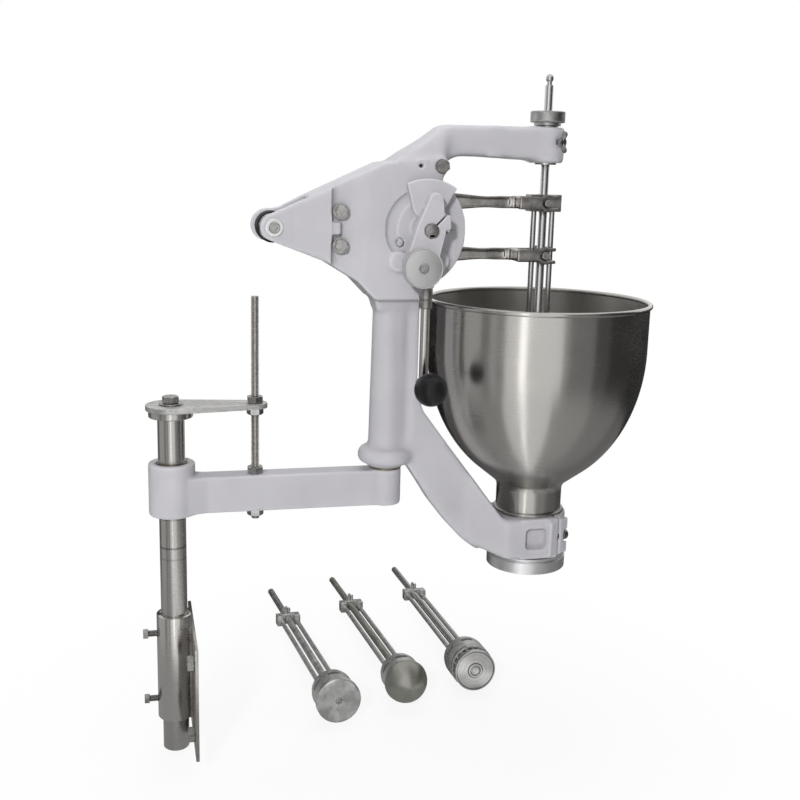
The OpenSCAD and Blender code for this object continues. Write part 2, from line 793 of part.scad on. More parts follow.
module rear_cover() {
    color("lightgray") on_frame() difference() {
        union() {
            slab(rear_depth, cover_y) body_2d();
            slab(rear_depth, cover_y) link_2d(nose, rear_lug_r, nose + [rear_lug_len, 0], rear_lug_r + 2);
        }
        bar_y(nose, pivot_r, 0, cover_y + 1);
        bar_y(shaft, front_bush_r, 0, cover_y + 1);
        bar_y(cover_bolt, bolt_r, 0, cover_y + 1);
        for (at = cover_screws) bar_y(at, bolt_r - 1, 0, cover_y + 1);
    }
}

// Guide plate behind the front wall that keeps the levers off the casting
module guide_plate() {
    color("silver") on_frame() difference() {
        slab(wall_y, wall_y + 4) translate([pad_bolt_x - 10, pivot_h - pad_bolt_dz - 9])
            square([20, 2 * pad_bolt_dz + 18]);
        for (side = [-1, 1])
            bar_y([pad_bolt_x, pivot_h + side * pad_bolt_dz], bolt_r, wall_y - 1, wall_y + 5);
    }
}

// Hexagonal bolt with its washer, head on the front face
module front_bolt(at, y1) {
    bar_y(at, bolt_r, front_y - washer_t - eps, y1);
    bar_y(at, bolt_r + 5.4, front_y - washer_t, front_y);
    hex_y(at, bolt_af, front_y - washer_t - bolt_head_h, front_y - washer_t + eps);
}

module pad_bolts() {
    color("gainsboro") on_frame()
    for (side = [-1, 1]) front_bolt([pad_bolt_x, pivot_h + side * pad_bolt_dz], wall_y + 4);
}

// Bolt through casting and cover with its nut, and the screws from behind
module cover_bolts() {
    color("gainsboro") on_frame() {
        front_bolt(cover_bolt, cover_y + bolt_head_h + 2);
        hex_y(cover_bolt, bolt_af, cover_y, cover_y + bolt_head_h);
        for (at = cover_screws) {
            bar_y(at, bolt_r - 1, rear_depth - cover_screw_deep, cover_y + eps);
            bar_y(at, bolt_r + 1.5, cover_y, cover_y + 4);
        }
    }
}

module stop_screw() {
    color("silver") on_frame() {
        bar_y(stop_at, 3, front_y - 1, wall_y);
        bar_y(stop_at, stop_head_r, front_y - 1, front_y + 3);
    }
}

module front_bush() {
    color("darkgoldenrod") on_frame() difference() {
        bar_y(shaft, front_bush_r, front_y - 3, wall_y);
        bar_y(shaft, shaft_r + run_fit, front_y - 10, wall_y + 1);
    }
}

module rear_bush() {
    color("darkgoldenrod") on_frame() difference() {
        bar_y(shaft, front_bush_r, rear_depth, cover_y + 2);
        bar_y(shaft, shaft_r + run_fit, 0, cover_y + 10);
    }
}

// Bolt that both levers turn on
module lever_pivot() {
    color("gainsboro") on_frame() {
        bar_y(nose, pivot_r, lug_y - washer_t - eps, cover_y + washer_t + nut_h + 3);
        hex_y(nose, nut_af, lug_y - washer_t - bolt_head_h, lug_y - washer_t);
        hex_y(nose, nut_af, cover_y + washer_t, cover_y + washer_t + nut_h);
    }
}

// Washers under the pivot's head and nut, and beside the cutter lever's hub
module pivot_washers() {
    color("silver") on_frame()
    for (y = [[lug_y - washer_t, lug_y], [cover_y, cover_y + washer_t], [cutter_y1 + free_gap, rear_depth]])
        difference() {
            bar_y(nose, pivot_r + 5, y[0], y[1]);
            bar_y(nose, pivot_r, y[0] - 1, y[1] + 1);
        }
}

// Spacer that the spring is wound round
module spring_spacer() {
    color("dimgray") on_frame() difference() {
        bar_y(nose, spring_r * cos(180 / spring_rings) - wire_r - free_gap, wall_y, feed_y0 - free_gap);
        bar_y(nose, pivot_r, wall_y - 1, feed_y0 + 1);
    }
}

// Middle line of the spring: an end along the pivot, the turns, an end along the pivot
function spring_turn(i) =
    let (a = 180 + 360 * i / spring_rings)
    [spring_r * cos(a), spring_y0 + spring_end + spring_pitch * i / spring_rings, spring_r * sin(a)];
spring_last = spring_turns * spring_rings;
spring_path = concat(
    [spring_turn(0) - [0, spring_end, 0]],
    [for (i = [0:spring_last]) spring_turn(i)],
    [spring_turn(spring_last) + [0, spring_end, 0]]
);

function unit(v) = v / norm(v);

// Direction of the path at point i, and the ring of the wire there
function path_run(path, i) =
    i == 0 ? unit(path[1] - path[0]) :
    i == len(path) - 1 ? unit(path[i] - path[i - 1]) :
    unit(unit(path[i] - path[i - 1]) + unit(path[i + 1] - path[i]));
function wire_ring(path, i) =
    let (
        along = path_run(path, i),
        out = unit([path[i][0], 0, path[i][2]]),
        side = unit(cross(along, out)),
        // a mitred ring is longer across the bend, by the turn that it takes
        bend = i == 0 || i == len(path) - 1 ? 1 : along * unit(path[i + 1] - path[i])
    )
    [for (k = [0:spring_sides - 1])
        let (a = 360 * k / spring_sides)
        path[i] + wire_r * (out * cos(a) + side * (sin(a) / max(bend, 0.7)))];

// Least room between wires, measured between the path's points that lie half a turn or more apart
spring_room = min([
    for (i = [0:len(spring_path) - 1], j = [0:len(spring_path) - 1])
        if (j - i > spring_rings / 2) norm(spring_path[i] - spring_path[j]) - 2 * wire_r
]);
echo(spring_room = spring_room);

module return_spring() {
    rings = [for (i = [0:len(spring_path) - 1]) wire_ring(spring_path, i)];
    points = [for (ring = rings) for (p = ring) p];
    n = spring_sides;
    last = n * (len(rings) - 1);
    skin = [
        for (i = [0:len(rings) - 2], k = [0:n - 1])
            let (a = n * i + k, b = n * i + (k + 1) % n)
            for (tri = [[a, b, a + n], [b, b + n, a + n]]) tri
    ];
    caps = concat(
        [for (k = [1:n - 2]) [0, k + 1, k]],
        [for (k = [1:n - 2]) [last, last + k, last + k + 1]]
    );
    color("black") on_frame() translate([nose[0], 0, nose[1]]) polyhedron(points, concat(skin, caps));
}

// Guide of the centre rod, with the stub that the adjusting collar turns on
module guide_bush() {
    color("silver") on_frame() translate([throat, 0, guide_z0]) difference() {
        union() {
            cylinder(r = guide_bush_r, h = guide_boss_h);
            cylinder(r = guide_stub_r, h = guide_boss_h + guide_stub_h);
        }
        translate([0, 0, -1]) cylinder(r = core_r + run_fit, h = guide_boss_h + guide_stub_h + 2);
    }
}

collar_neck_h = 3.5;
collar_grip_h = 13;
module adjusting_collar() {
    color("gainsboro") on_frame() translate([throat, 0, guide_z1 + face_gap]) difference() {
        union() {
            cylinder(r = 16, h = collar_neck_h + eps);
            translate([0, 0, collar_neck_h]) cylinder(r = 20.5, h = collar_grip_h);
        }
        translate([0, 0, -1]) cylinder(r = guide_stub_r + run_fit, h = guide_stub_h + 1 + free_gap);
        cylinder(r = core_r + free_gap, h = collar_neck_h + collar_grip_h + 1);
    }
}

wing_r = 3;
wing_z = guide_z0 + 26;
wing_angle = -66;
// Locks the guide bush in its boss
module wing_screw() {
    color("silver") on_frame() translate([throat, 0, wing_z]) rotate([0, 0, wing_angle]) {
        bar_x(wing_r, guide_bush_r + free_gap, guide_boss_r + 5, 0);
        bar_x(wing_r + 2, guide_boss_r + 1.5, guide_boss_r + 7, 0);
        for (side = [0, 180]) rotate([side, 0, 0])
            slab(-1.2, 1.2) link_2d([guide_boss_r + 4.5, 2], 2.5, [guide_boss_r + 8, 9], 3.5);
    }
}

// Screw that draws the clamp's ears together
module clamp_screw() {
    color("silver") on_frame() {
        clamp_screw_bar(clamp_screw_r, -ear_half + 3, ear_half - screw_sunk + face_gap);
        clamp_screw_bar(clamp_screw_r + 3, ear_half - screw_sunk + face_gap - eps, ear_half + 0.5);
    }
}

// Crank

module main_shaft() {
    color("silver") on_frame() difference() {
        bar_y(shaft, shaft_r, shaft_front, shaft_rear);
        translate([shaft[0] - 2, shaft_front - 1, shaft[1] - shaft_r - 1])
            cube([4, crank_y0 - shaft_front + crank_t, 4]);
    }
}

// Key between shaft and crank
module shaft_key() {
    color("dimgray") on_frame()
        translate([shaft[0] - 2, crank_y0 - 1, shaft[1] - shaft_r]) cube([4, crank_t - 2, 3]);
}

// Collar that keeps the shaft from sliding forward
module shaft_collar() {
    color("silver") on_frame() difference() {
        bar_y(shaft, shaft_r + 6, cover_y + 2 + free_gap, cover_y + 12);
        bar_y(shaft, shaft_r, cover_y, cover_y + 14);
    }
}

module feed_cam() {
    color("silver") on_frame() difference() {
        bar_y(shaft + [0, -feed_throw], feed_cam_r, feed_y0, feed_y1);
        bar_y(shaft, shaft_r, feed_y0 - 1, feed_y1 + 1);
    }
}

module cutter_cam() {
    color("silver") on_frame() difference() {
        bar_y(shaft + [0, cutter_throw], cutter_cam_r, cutter_y0, cutter_y1);
        bar_y(shaft, shaft_r, cutter_y0 - 1, cutter_y1 + 1);
    }
}

module crank_arm() {
    split = 46;
    color("lightgray") on_frame() difference() {
        union() {
            slab(crank_y0, sector_y0) {
                link_2d(shaft + tail_at, tail_r, shaft, crank_hub_r);
                link_2d(shaft, crank_hub_r, shaft + disc_at, crank_boss_r);
                // ear for the clamp bolt
                translate(shaft) rotate(split - 8) square([24, 13]);
                translate(shaft) rotate(split - 42) square([23, 16]);
            }
            // socket for the handle rod, with a flat at its front that stays behind the disc
            translate([shaft[0] + handle_dx, crank_mid_y, shaft[1] + handle_top - socket_len]) intersection() {
                cylinder(r = socket_r, h = socket_len + 8);
                translate([-socket_r, free_gap - crank_t / 2, -1]) cube([2 * socket_r, crank_t + socket_r, socket_len + 10]);
            }
            // fan-shaped sector behind the tail
            slab(sector_y0 - eps, sector_y1) {
                translate(shaft) circle(crank_hub_r);
                intersection() {
                    translate(shaft) circle(sector_r);
                    polygon([shaft + [-17, 20], shaft + [-28, 62], shaft + [42, 62], shaft + [17, 20], shaft]);
                }
            }
        }
        bar_y(shaft, shaft_r, crank_y0 - 1, sector_y1 + 1);
        translate([shaft[0], crank_y0 - 1, shaft[1]]) rotate([0, -split, 0])
            translate([shaft_r - 1, 0, -1]) cube([40, crank_t + 2, 2]);
        translate([shaft[0] - 2, crank_y0 - 2, shaft[1] - shaft_r - 1]) cube([4, crank_t, 3]);
        crank_bolt_bar(3, -30, 40);
        crank_bolt_bar(crank_bolt_head_r + free_gap, crank_bolt_seat, 40);
        bar_y(shaft + disc_at, 3, crank_y0 - 1, sector_y0 + 1);
        translate([shaft[0] + handle_dx, crank_mid_y, shaft[1] + handle_top - socket_len - 1])
            cylinder(r = handle_r, h = socket_len + 1);
    }
}

// Bar across the crank's split
module crank_bolt_bar(r, x0, x1) {
    translate([shaft[0], crank_mid_y, shaft[1]]) rotate([0, -46, 0]) translate([16, 0, 0]) rotate([0, 90, 0])
        bar_x(r, x0, x1, 0);
}

module crank_disc() {
    color("silver") on_frame() difference() {
        bar_y(shaft + disc_at, crank_disc_r, crank_y0 - crank_disc_t, crank_y0);
        bar_y(shaft + disc_at, 3, crank_y0 - crank_disc_t - 1, crank_y0 + 1);
    }
}

// Clamp bolt across the split, and the screw that holds the disc
module crank_screws() {
    front = crank_y0 - crank_disc_t;
    color("silver") on_frame() {
        crank_bolt_bar(3, -6, 17);
        crank_bolt_bar(crank_bolt_head_r, crank_bolt_seat, crank_bolt_seat + 5.5);
        bar_y(shaft + disc_at, 3, front - eps, crank_y0 + 12);
        bar_y(shaft + disc_at, 5.5, front - 3, front);
    }
}

// Rod from the crank's boss down to the knob, with a flattened eye at its end
module handle_rod() {
    foot = shaft[1] - handle_len;
    color("silver") on_frame() difference() {
        union() {
            translate([shaft[0] + handle_dx, crank_mid_y, foot])
                cylinder(r = handle_r, h = handle_len + handle_top);
            bar_y([shaft[0] + handle_dx, foot], handle_r + 3, crank_mid_y - eye_half, crank_mid_y + eye_half);
        }
        bar_y([shaft[0] + handle_dx, foot], ball_stud_r, crank_mid_y - 20, crank_mid_y + 20);
    }
}

module knob_stud() {
    color("silver") on_frame()
        bar_y([shaft[0] + handle_dx, shaft[1] - handle_len], ball_stud_r, ball_y - 6, crank_mid_y + eye_half);
}

// Ball with a flat at its back and a blind bore for the stud, turned about its own axis
module ball_knob() {
    steps = 24;
    flat_angle = acos((ball_stud_r + 4) / ball_r);
    bore_end = -6 - free_gap;
    bore = ball_stud_r + run_fit;
    skin = [for (i = [0:steps]) let (a = flat_angle - (flat_angle + 90) * i / steps) ball_r * [cos(a), sin(a)]];
    color("black") on_frame() translate([shaft[0] + handle_dx, ball_y, shaft[1] - handle_len])
        rotate([-90, 0, 0]) rotate_extrude()
            polygon(concat([[bore, ball_r * sin(flat_angle)]], skin, [[0, bore_end], [bore, bore_end]]));
}

// Levers

// Side of a lever: hub, rising bar and level bar, with rise as the fork's height above the pivot
module lever_2d(rise) {
    turn_x = 0;
    half = lever_h / 2;
    translate(nose) circle(lever_hub_r);
    polygon([
        nose + [0, lever_hub_r - 1], [turn_x, pivot_h + rise + half], [fork_bridge_x + 2, pivot_h + rise + half - 1],
        [fork_bridge_x + 2, pivot_h + rise - half + 1], [turn_x, pivot_h + rise - half], nose + [0, 1 - lever_hub_r]
    ]);
}

// Side of a fork's prong, a hook open away from the frame
module prong_2d(z) {
    half = lever_h / 2 + 1.5;
    difference() {
        union() {
            translate([fork_bridge_x, z - half + 2]) square([throat - fork_bridge_x, 2 * half - 4]);
            translate([throat, z]) circle(half + 1);
            translate([throat, z - half]) square([prong_tip_x - throat, 2 * half]);
        }
        translate([throat - 2, z]) circle(slot_half);
        translate([throat - 2, z - slot_half]) square([40, 2 * slot_half]);
    }
}

module lever(rise, y0, y1) {
    z = pivot_h + rise;
    half = lever_h / 2;
    difference() {
        union() {
            slab(y0, y1) lever_2d(rise);
            for (y = [prong_y0, -prong_y0 - prong_t]) slab(y, y + prong_t) prong_2d(z);
            translate([fork_bridge_x, -prong_y0 - prong_t, z - half + 1])
                cube([fork_bridge_w, prong_y0 + prong_t + max(y1, prong_y0 + prong_t), lever_h - 2]);
        }
        bar_y(nose, pivot_r + run_fit, y0 - 1, y1 + 1);
        // pocket along the bar's front face
        slab(y0 - 1, y0 + 2.5) translate([78, z - half + 3.5]) square([fork_bridge_x - 84, lever_h - 7]);
    }
}

module feed_lever() { color("darkgray") on_frame() lever(fork_h, feed_y0, feed_y1); }
module cutter_lever() { color("darkgray") on_frame() lever(-fork_h, cutter_y0, cutter_y1); }

// Plunger

// Yoke bar with a stud on each side, and holes for the rods
module upper_yoke() {
    color("silver") on_frame() difference() {
        union() {
            translate([throat - yoke_len / 2, -yoke_w / 2, yoke_z - yoke_h / 2]) cube([yoke_len, yoke_w, yoke_h]);
            bar_y([throat, yoke_z], stud_r, -stud_reach, stud_reach);
        }
        translate([throat, 0, yoke_z - yoke_h]) cylinder(r = core_r + free_gap, h = 2 * yoke_h);
        for (side = [-1, 1])
            translate([throat + side * side_rod_dx, 0, yoke_z - yoke_h]) cylinder(r = side_rod_r, h = 2 * yoke_h);
    }
}

module side_rods() {
    z0 = sleeve_z1 - 10;
    color("gainsboro") on_frame()
    for (side = [-1, 1])
        translate([throat + side * side_rod_dx, 0, z0]) cylinder(r = side_rod_r, h = yoke_z + yoke_h / 2 - z0);
}

// Sleeve that slides in the cylinder, with a bar across its top for the rods
module plunger_sleeve() {
    inner = cage_r - sleeve_wall;
    color("silver") on_frame() translate([throat, 0, 0]) difference() {
        union() {
            translate([0, 0, sleeve_z0]) tube(cage_r, inner, sleeve_h);
            translate([0, 0, sleeve_z1 - 10]) intersection() {
                cylinder(r = cage_r - eps, h = 10);
                translate([-cage_r, -8, 0]) cube([2 * cage_r, 16, 10]);
            }
        }
        translate([0, 0, sleeve_z0 - 1]) cylinder(r = core_r + free_gap, h = sleeve_h + 2);
        for (side = [-1, 1])
            translate([side * side_rod_dx, 0, sleeve_z1 - 11]) cylinder(r = side_rod_r, h = 12);
    }
}

module centre_rod() {
    tip_r = core_r - 0.2;
    color("gainsboro") on_frame() translate([throat, 0, 0]) {
        translate([0, 0, sleeve_z0]) cylinder(r = core_r, h = core_z1 - 14 - sleeve_z0);
        translate([0, 0, core_z1 - 14 - eps]) cylinder(r = core_r - 2, h = 6);
        translate([0, 0, core_z1 - tip_r]) sphere(r = tip_r);
    }
}

// Collar on the centre rod with the studs for the cutter lever's fork
module stud_collar() {
    collar_r = side_rod_dx - side_rod_r - free_gap;
    collar_h = lever_h;
    color("silver") on_frame() translate([throat, 0, 0]) difference() {
        union() {
            translate([0, 0, collar_z - collar_h / 2]) cylinder(r = collar_r, h = collar_h);
            bar_y([0, collar_z], stud_r, -stud_reach, stud_reach);
        }
        translate([0, 0, collar_z - collar_h]) cylinder(r = core_r, h = 2 * collar_h);
    }
}

module plunger_disc() {
    color("silver") on_frame() translate([throat, 0, sleeve_z0]) difference() {
        cylinder(r = cage_r - sleeve_wall - free_gap, h = disc_t);
        translate([0, 0, -1]) cylinder(r = core_r, h = disc_t + 2);
    }
}

// Hopper

// Half section of the hopper's skin, moved inwards by the given thickness: straight side,
// round part and a cone that touches it and ends at the neck
function bowl_point(a, t) = [(bowl_r - t) * cos(a), bowl_arc_z - (bowl_deep - t) * sin(a)];
function bowl_slope(t) = (bowl_deep - t) * cos(bowl_arc) / ((bowl_r - t) * sin(bowl_arc));
function hopper_line(t) =
    let (last = bowl_point(bowl_arc, t))
    concat(
        [[bowl_r - t, rim_up]],
        [for (i = [0:bowl_steps]) bowl_point(bowl_arc * i / bowl_steps, t)],
        [[neck_r - t, last[1] - (last[0] - neck_r + t) * bowl_slope(t)]],
        [[neck_r - t, clamp_z1 + neck_collar_t - eps]]
    );

module hopper() {
    outer = hopper_line(0);
    inner = hopper_line(hopper_wall);
    color("silver") on_frame() translate([throat, 0, 0]) {
        rotate_extrude() polygon(concat(outer, [for (i = [len(inner) - 1:-1:0]) inner[i]]));
        rotate_extrude() translate([bowl_r, rim_up]) circle(rim_roll_r);
        translate([0, 0, clamp_z1]) tube(neck_collar_r, spigot_r - hopper_wall, neck_collar_t);
        translate([0, 0, clamp_z0 + 1]) tube(spigot_r, spigot_r - hopper_wall, clamp_h);
    }
}

// Cylinder pushed into the spigot from below, with its foot ring
module cylinder_body() {
    foot = clamp_z0 - foot_gap - foot_ring_h;
    color("gainsboro") on_frame() translate([throat, 0, 0]) difference() {
        union() {
            translate([0, 0, foot]) cylinder(r = foot_ring_r, h = foot_ring_h);
            translate([0, 0, foot + foot_ring_h - eps]) cylinder(r = spigot_r + 2, h = foot_gap - face_gap + eps);
            translate([0, 0, foot + 1]) cylinder(r = cylinder_r, h = cylinder_top - foot - 1);
        }
        translate([0, 0, foot - 1]) cylinder(r = bore_r, h = cylinder_top - foot + 2);
        translate([0, 0, foot - eps]) cylinder(r1 = bore_r + 4, r2 = bore_r, h = 4);
    }
}

// Spare plungers

// Lays a spare plunger on the surface: its own +Z runs from the head to the tip of the rod
module lay_spare(i) {
    at = spare_places[i];
    translate([at[0], at[1], surface_z + spare_r * cos(spare_tilt)])
        rotate([0, 0, spare_headings[i]]) rotate([-90 - spare_tilt, 0, 0]) children();
}

// Yoke, side rods and a round seat for the sleeve
module spare_cage(sleeve_r1) {
    translate([0, 0, spare_len - spare_yoke_h / 2]) difference() {
        union() {
            translate([-18, -spare_yoke_h / 2, spare_yoke_h / 2]) cube([36, spare_yoke_h, spare_yoke_h / 2]);
            for (x = [-18, 9]) translate([x, -spare_yoke_h / 2, 0]) cube([9, spare_yoke_h, spare_yoke_h]);
            translate([0, -spare_yoke_h / 2 + eps, spare_yoke_h * 3 / 4]) rotate([90, 0, 0])
                cylinder(r = spare_yoke_h / 4, h = 11);
        }
        translate([0, 0, -1]) cylinder(r = core_r + free_gap, h = spare_yoke_h + 2);
    }
    for (side = [-1, 1])
        translate([side * side_rod_dx, 0, disc_t + spare_sleeve_h - 2])
            cylinder(r = side_rod_r, h = spare_len - disc_t - spare_sleeve_h);
    translate([0, 0, disc_t + 1]) difference() {
        cylinder(r = sleeve_r1, h = spare_sleeve_h);
        translate([0, 0, -1]) cylinder(r = core_r + free_gap, h = spare_sleeve_h + 2);
        translate([0, 0, -1]) cylinder(r = sleeve_r1 - sleeve_wall, h = spare_sleeve_h - 7);
        // windows that the batter passes through
        for (a = [0:60:120]) rotate([0, 0, a])
            translate([-sleeve_r1 - 1, -6, 10]) cube([2 * sleeve_r1 + 2, 12, spare_sleeve_h - 22]);
    }
}

module spare_core() {
    translate([0, 0, disc_t - eps]) cylinder(r = core_r, h = spare_len + spare_tip - disc_t);
}

module spare_plain_cage() { color("silver") lay_spare(0) spare_cage(spare_r - 2); }
module spare_plain_core() {
    color("gainsboro") lay_spare(0) {
        cylinder(r = spare_r, h = disc_t);
        spare_core();
        translate([0, 0, -3]) cylinder(r = 6, h = 4, $fn = 6);
    }
}

module spare_dome_cage() { color("silver") lay_spare(1) spare_cage(spare_r - 3); }
module spare_dome_core() {
    color("gainsboro") lay_spare(1) {
        intersection() {
            translate([0, 0, disc_t]) sphere(r = spare_r);
            translate([0, 0, disc_t - spare_r]) cylinder(r = spare_r, h = spare_r);
        }
        spare_core();
    }
}

module spare_wide_cage() { color("silver") lay_spare(2) spare_cage(spare_r); }
module spare_wide_core() {
    color("gainsboro") lay_spare(2) {
        cylinder(r = spare_r, h = disc_t);
        translate([0, 0, -wide_neck_h]) cylinder(r = spare_r - 9, h = wide_neck_h + eps);
        translate([0, 0, -wide_neck_h - wide_lip_h]) cylinder(r = spare_r - 1, h = wide_lip_h + eps);
        translate([0, 0, -wide_neck_h - wide_lip_h - wide_nut_h]) cylinder(r = 8, h = wide_nut_h + eps);
        spare_core();
    }
}

mount_plate();
weld_nuts();
column_sleeve();
sleeve_welds();
set_screw_upper();
set_screw_lower();
column();
lift_disc();
lift_bolt();
lift_plate();
height_rod();
rod_nuts();
swing_arm();
arm_bush();
arm_nuts();
swivel_pin();
thrust_washer();
frame_casting();
rear_cover();
guide_plate();
pad_bolts();
cover_bolts();
stop_screw();
front_bush();
rear_bush();
lever_pivot();
pivot_washers();
spring_spacer();
return_spring();
guide_bush();
adjusting_collar();
wing_screw();
clamp_screw();
main_shaft();
shaft_key();
shaft_collar();
feed_cam();
cutter_cam();
crank_arm();
crank_screws();
crank_disc();
handle_rod();
knob_stud();
ball_knob();
feed_lever();
cutter_lever();
upper_yoke();
side_rods();
plunger_sleeve();
centre_rod();
stud_collar();
plunger_disc();
hopper();
cylinder_body();
spare_plain_cage();
spare_plain_core();
spare_dome_cage();
spare_dome_core();
spare_wide_cage();
spare_wide_core();
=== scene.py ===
# %% [markdown]
# # Manual donut depositor
# A hopper and a plunger hang on a painted casting, which swivels on an arm and a column.
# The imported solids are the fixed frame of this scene: they say where every piece is and what it
# moves with. This lesson dresses them: soft cast skins, turned steel, chamfered nuts, threads,
# a wound spring, and finishes made from nodes.

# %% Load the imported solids
import json
import math

import bpy
from mathutils import Matrix, Vector


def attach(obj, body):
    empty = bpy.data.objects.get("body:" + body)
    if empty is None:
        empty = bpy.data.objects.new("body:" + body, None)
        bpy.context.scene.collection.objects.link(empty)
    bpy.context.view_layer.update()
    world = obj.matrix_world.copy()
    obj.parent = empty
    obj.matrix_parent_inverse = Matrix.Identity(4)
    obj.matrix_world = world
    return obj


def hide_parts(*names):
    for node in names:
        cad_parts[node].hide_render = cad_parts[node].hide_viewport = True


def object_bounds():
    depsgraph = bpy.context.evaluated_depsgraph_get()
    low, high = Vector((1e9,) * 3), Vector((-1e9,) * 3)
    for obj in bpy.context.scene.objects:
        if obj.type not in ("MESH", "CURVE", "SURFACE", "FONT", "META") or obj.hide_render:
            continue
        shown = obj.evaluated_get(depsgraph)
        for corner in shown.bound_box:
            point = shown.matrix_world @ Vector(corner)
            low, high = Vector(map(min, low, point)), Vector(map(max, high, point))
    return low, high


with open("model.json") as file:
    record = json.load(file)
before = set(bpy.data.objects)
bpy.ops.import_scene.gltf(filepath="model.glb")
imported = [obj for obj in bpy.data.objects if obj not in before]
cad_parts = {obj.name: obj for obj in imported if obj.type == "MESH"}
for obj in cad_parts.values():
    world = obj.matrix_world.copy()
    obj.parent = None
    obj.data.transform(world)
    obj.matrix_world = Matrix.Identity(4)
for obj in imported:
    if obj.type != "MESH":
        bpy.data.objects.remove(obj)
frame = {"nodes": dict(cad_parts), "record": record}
nodes = frame["nodes"]
record = frame["record"]
body_of_node = {node: body for body, members in record["behaviour"]["bodies"].items() for node in members}
slot_of_node = {row["node"]: row["material_slot"] for row in record["subparts"]}
cad_low, cad_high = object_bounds()

# %% [markdown]
# ## Camera
# The photograph was taken from the front left and a little above, with the picture turned by a
# degree or two. A camera is set by the point that one pixel shows, its distance, and three angles.
# Working from a known point is easier to correct than typing a position by hand.

# %% Camera
MM = 0.001
PHOTO_SIDE = 800
focal_pixels = 1100
camera_turn = math.radians(14)
camera_pitch = math.radians(12)
camera_roll = math.radians(1.5)
camera_distance = 1320 * MM
anchor_pixel = (387, 375)
anchor_point = Vector((231.5, 0, 371.5)) * MM

look = Vector((math.sin(camera_turn) * math.cos(camera_pitch),
               math.cos(camera_turn) * math.cos(camera_pitch), -math.sin(camera_pitch)))
level_right = Vector((math.cos(camera_turn), -math.sin(camera_turn), 0))
level_up = Vector((math.sin(camera_turn) * math.sin(camera_pitch),
                   math.cos(camera_turn) * math.sin(camera_pitch), math.cos(camera_pitch)))
right = level_right * math.cos(camera_roll) + level_up * math.sin(camera_roll)
up = level_up * math.cos(camera_roll) - level_right * math.sin(camera_roll)
ray = (look * focal_pixels + right * (anchor_pixel[0] - PHOTO_SIDE / 2)
       - up * (anchor_pixel[1] - PHOTO_SIDE / 2))
camera_place = anchor_point - ray * (camera_distance / focal_pixels)

camera_data = bpy.data.cameras.new("photo_camera")
camera_data.sensor_width = 36
camera_data.lens = 36 * focal_pixels / PHOTO_SIDE
camera = bpy.data.objects.new("photo_camera", camera_data)
bpy.context.scene.collection.objects.link(camera)
turn = Matrix((right, up, -look)).transposed().to_4x4()
camera.matrix_world = Matrix.Translation(camera_place) @ turn
bpy.context.scene.camera = camera
print("camera at", [round(v, 3) for v in camera_place])

# %% [markdown]
# ## Node helpers
# Every finish is a Principled shader with a few texture nodes in front of it. Two small helpers
# add and link nodes, so each finish below reads as a short list of what is special about it.
# All textures use Object coordinates, because every piece here keeps its place in its mesh.

# %% Node helpers
def new_finish(name, color, metallic, roughness):
    finish = bpy.data.materials.new(name)
    finish.use_nodes = True
    shader = finish.node_tree.nodes["Principled BSDF"]
    shader.inputs["Base Color"].default_value = (*color, 1)
    shader.inputs["Metallic"].default_value = metallic
    shader.inputs["Roughness"].default_value = roughness
    finish.diffuse_color = (*color, 1)
    return finish


def add_node(finish, kind, inputs=None, **settings):
    made = finish.node_tree.nodes.new(kind)
    for key, value in settings.items():
        setattr(made, key, value)
    for key, value in (inputs or {}).items():
        made.inputs[key].default_value = value
    return made


def link(finish, output, target):
    finish.node_tree.links.new(output, target)


def shader_of(finish):
    return finish.node_tree.nodes["Principled BSDF"]


def object_place(finish):
    return add_node(finish, "ShaderNodeTexCoord").outputs["Object"]


def noise_of(finish, place, scale, detail=4, stretch=None):
    """Noise at a scale per metre, stretched along the axes if asked."""
    if stretch:
        mapping = add_node(finish, "ShaderNodeMapping", {"Scale": stretch})
        link(finish, place, mapping.inputs["Vector"])
        place = mapping.outputs["Vector"]
    noise = add_node(finish, "ShaderNodeTexNoise", {"Scale": scale, "Detail": detail})
    link(finish, place, noise.inputs["Vector"])
    return noise.outputs["Fac"]


def spread(finish, value, low, high, start=0.3, end=0.7):
    """Maps a noise value to the range from low to high."""
    ramp = add_node(finish, "ShaderNodeMapRange", {"From Min": start, "From Max": end, "To Min": low,
                                                   "To Max": high})
    link(finish, value, ramp.inputs["Value"])
    return ramp.outputs["Result"]


def tint(finish, value, dark, light, start=0.35, end=0.65):
    """Colours between two tones along a value, fed to the base colour."""
    ramp = add_node(finish, "ShaderNodeValToRGB")
    ramp.color_ramp.elements[0].position = start
    ramp.color_ramp.elements[0].color = (*dark, 1)
    ramp.color_ramp.elements[1].position = end
    ramp.color_ramp.elements[1].color = (*light, 1)
    link(finish, value, ramp.inputs["Fac"])
    return ramp.outputs["Color"]


def bumped(finish, value, strength, distance):
    bump = add_node(finish, "ShaderNodeBump", {"Strength": strength, "Distance": distance})
    link(finish, value, bump.inputs["Height"])
    link(finish, bump.outputs["Normal"], shader_of(finish).inputs["Normal"])


def dim(finish, factor):
    """Multiplies the base colour, as it is linked so far, by a value."""
    target = shader_of(finish).inputs["Base Color"]
    scaled = add_node(finish, "ShaderNodeVectorMath", operation="SCALE")
    link(finish, target.links[0].from_socket, scaled.inputs[0])
    link(finish, factor, scaled.inputs["Scale"])
    link(finish, scaled.outputs["Vector"], target)


def share(color, factor):
    return tuple(min(1, c * factor) for c in color)
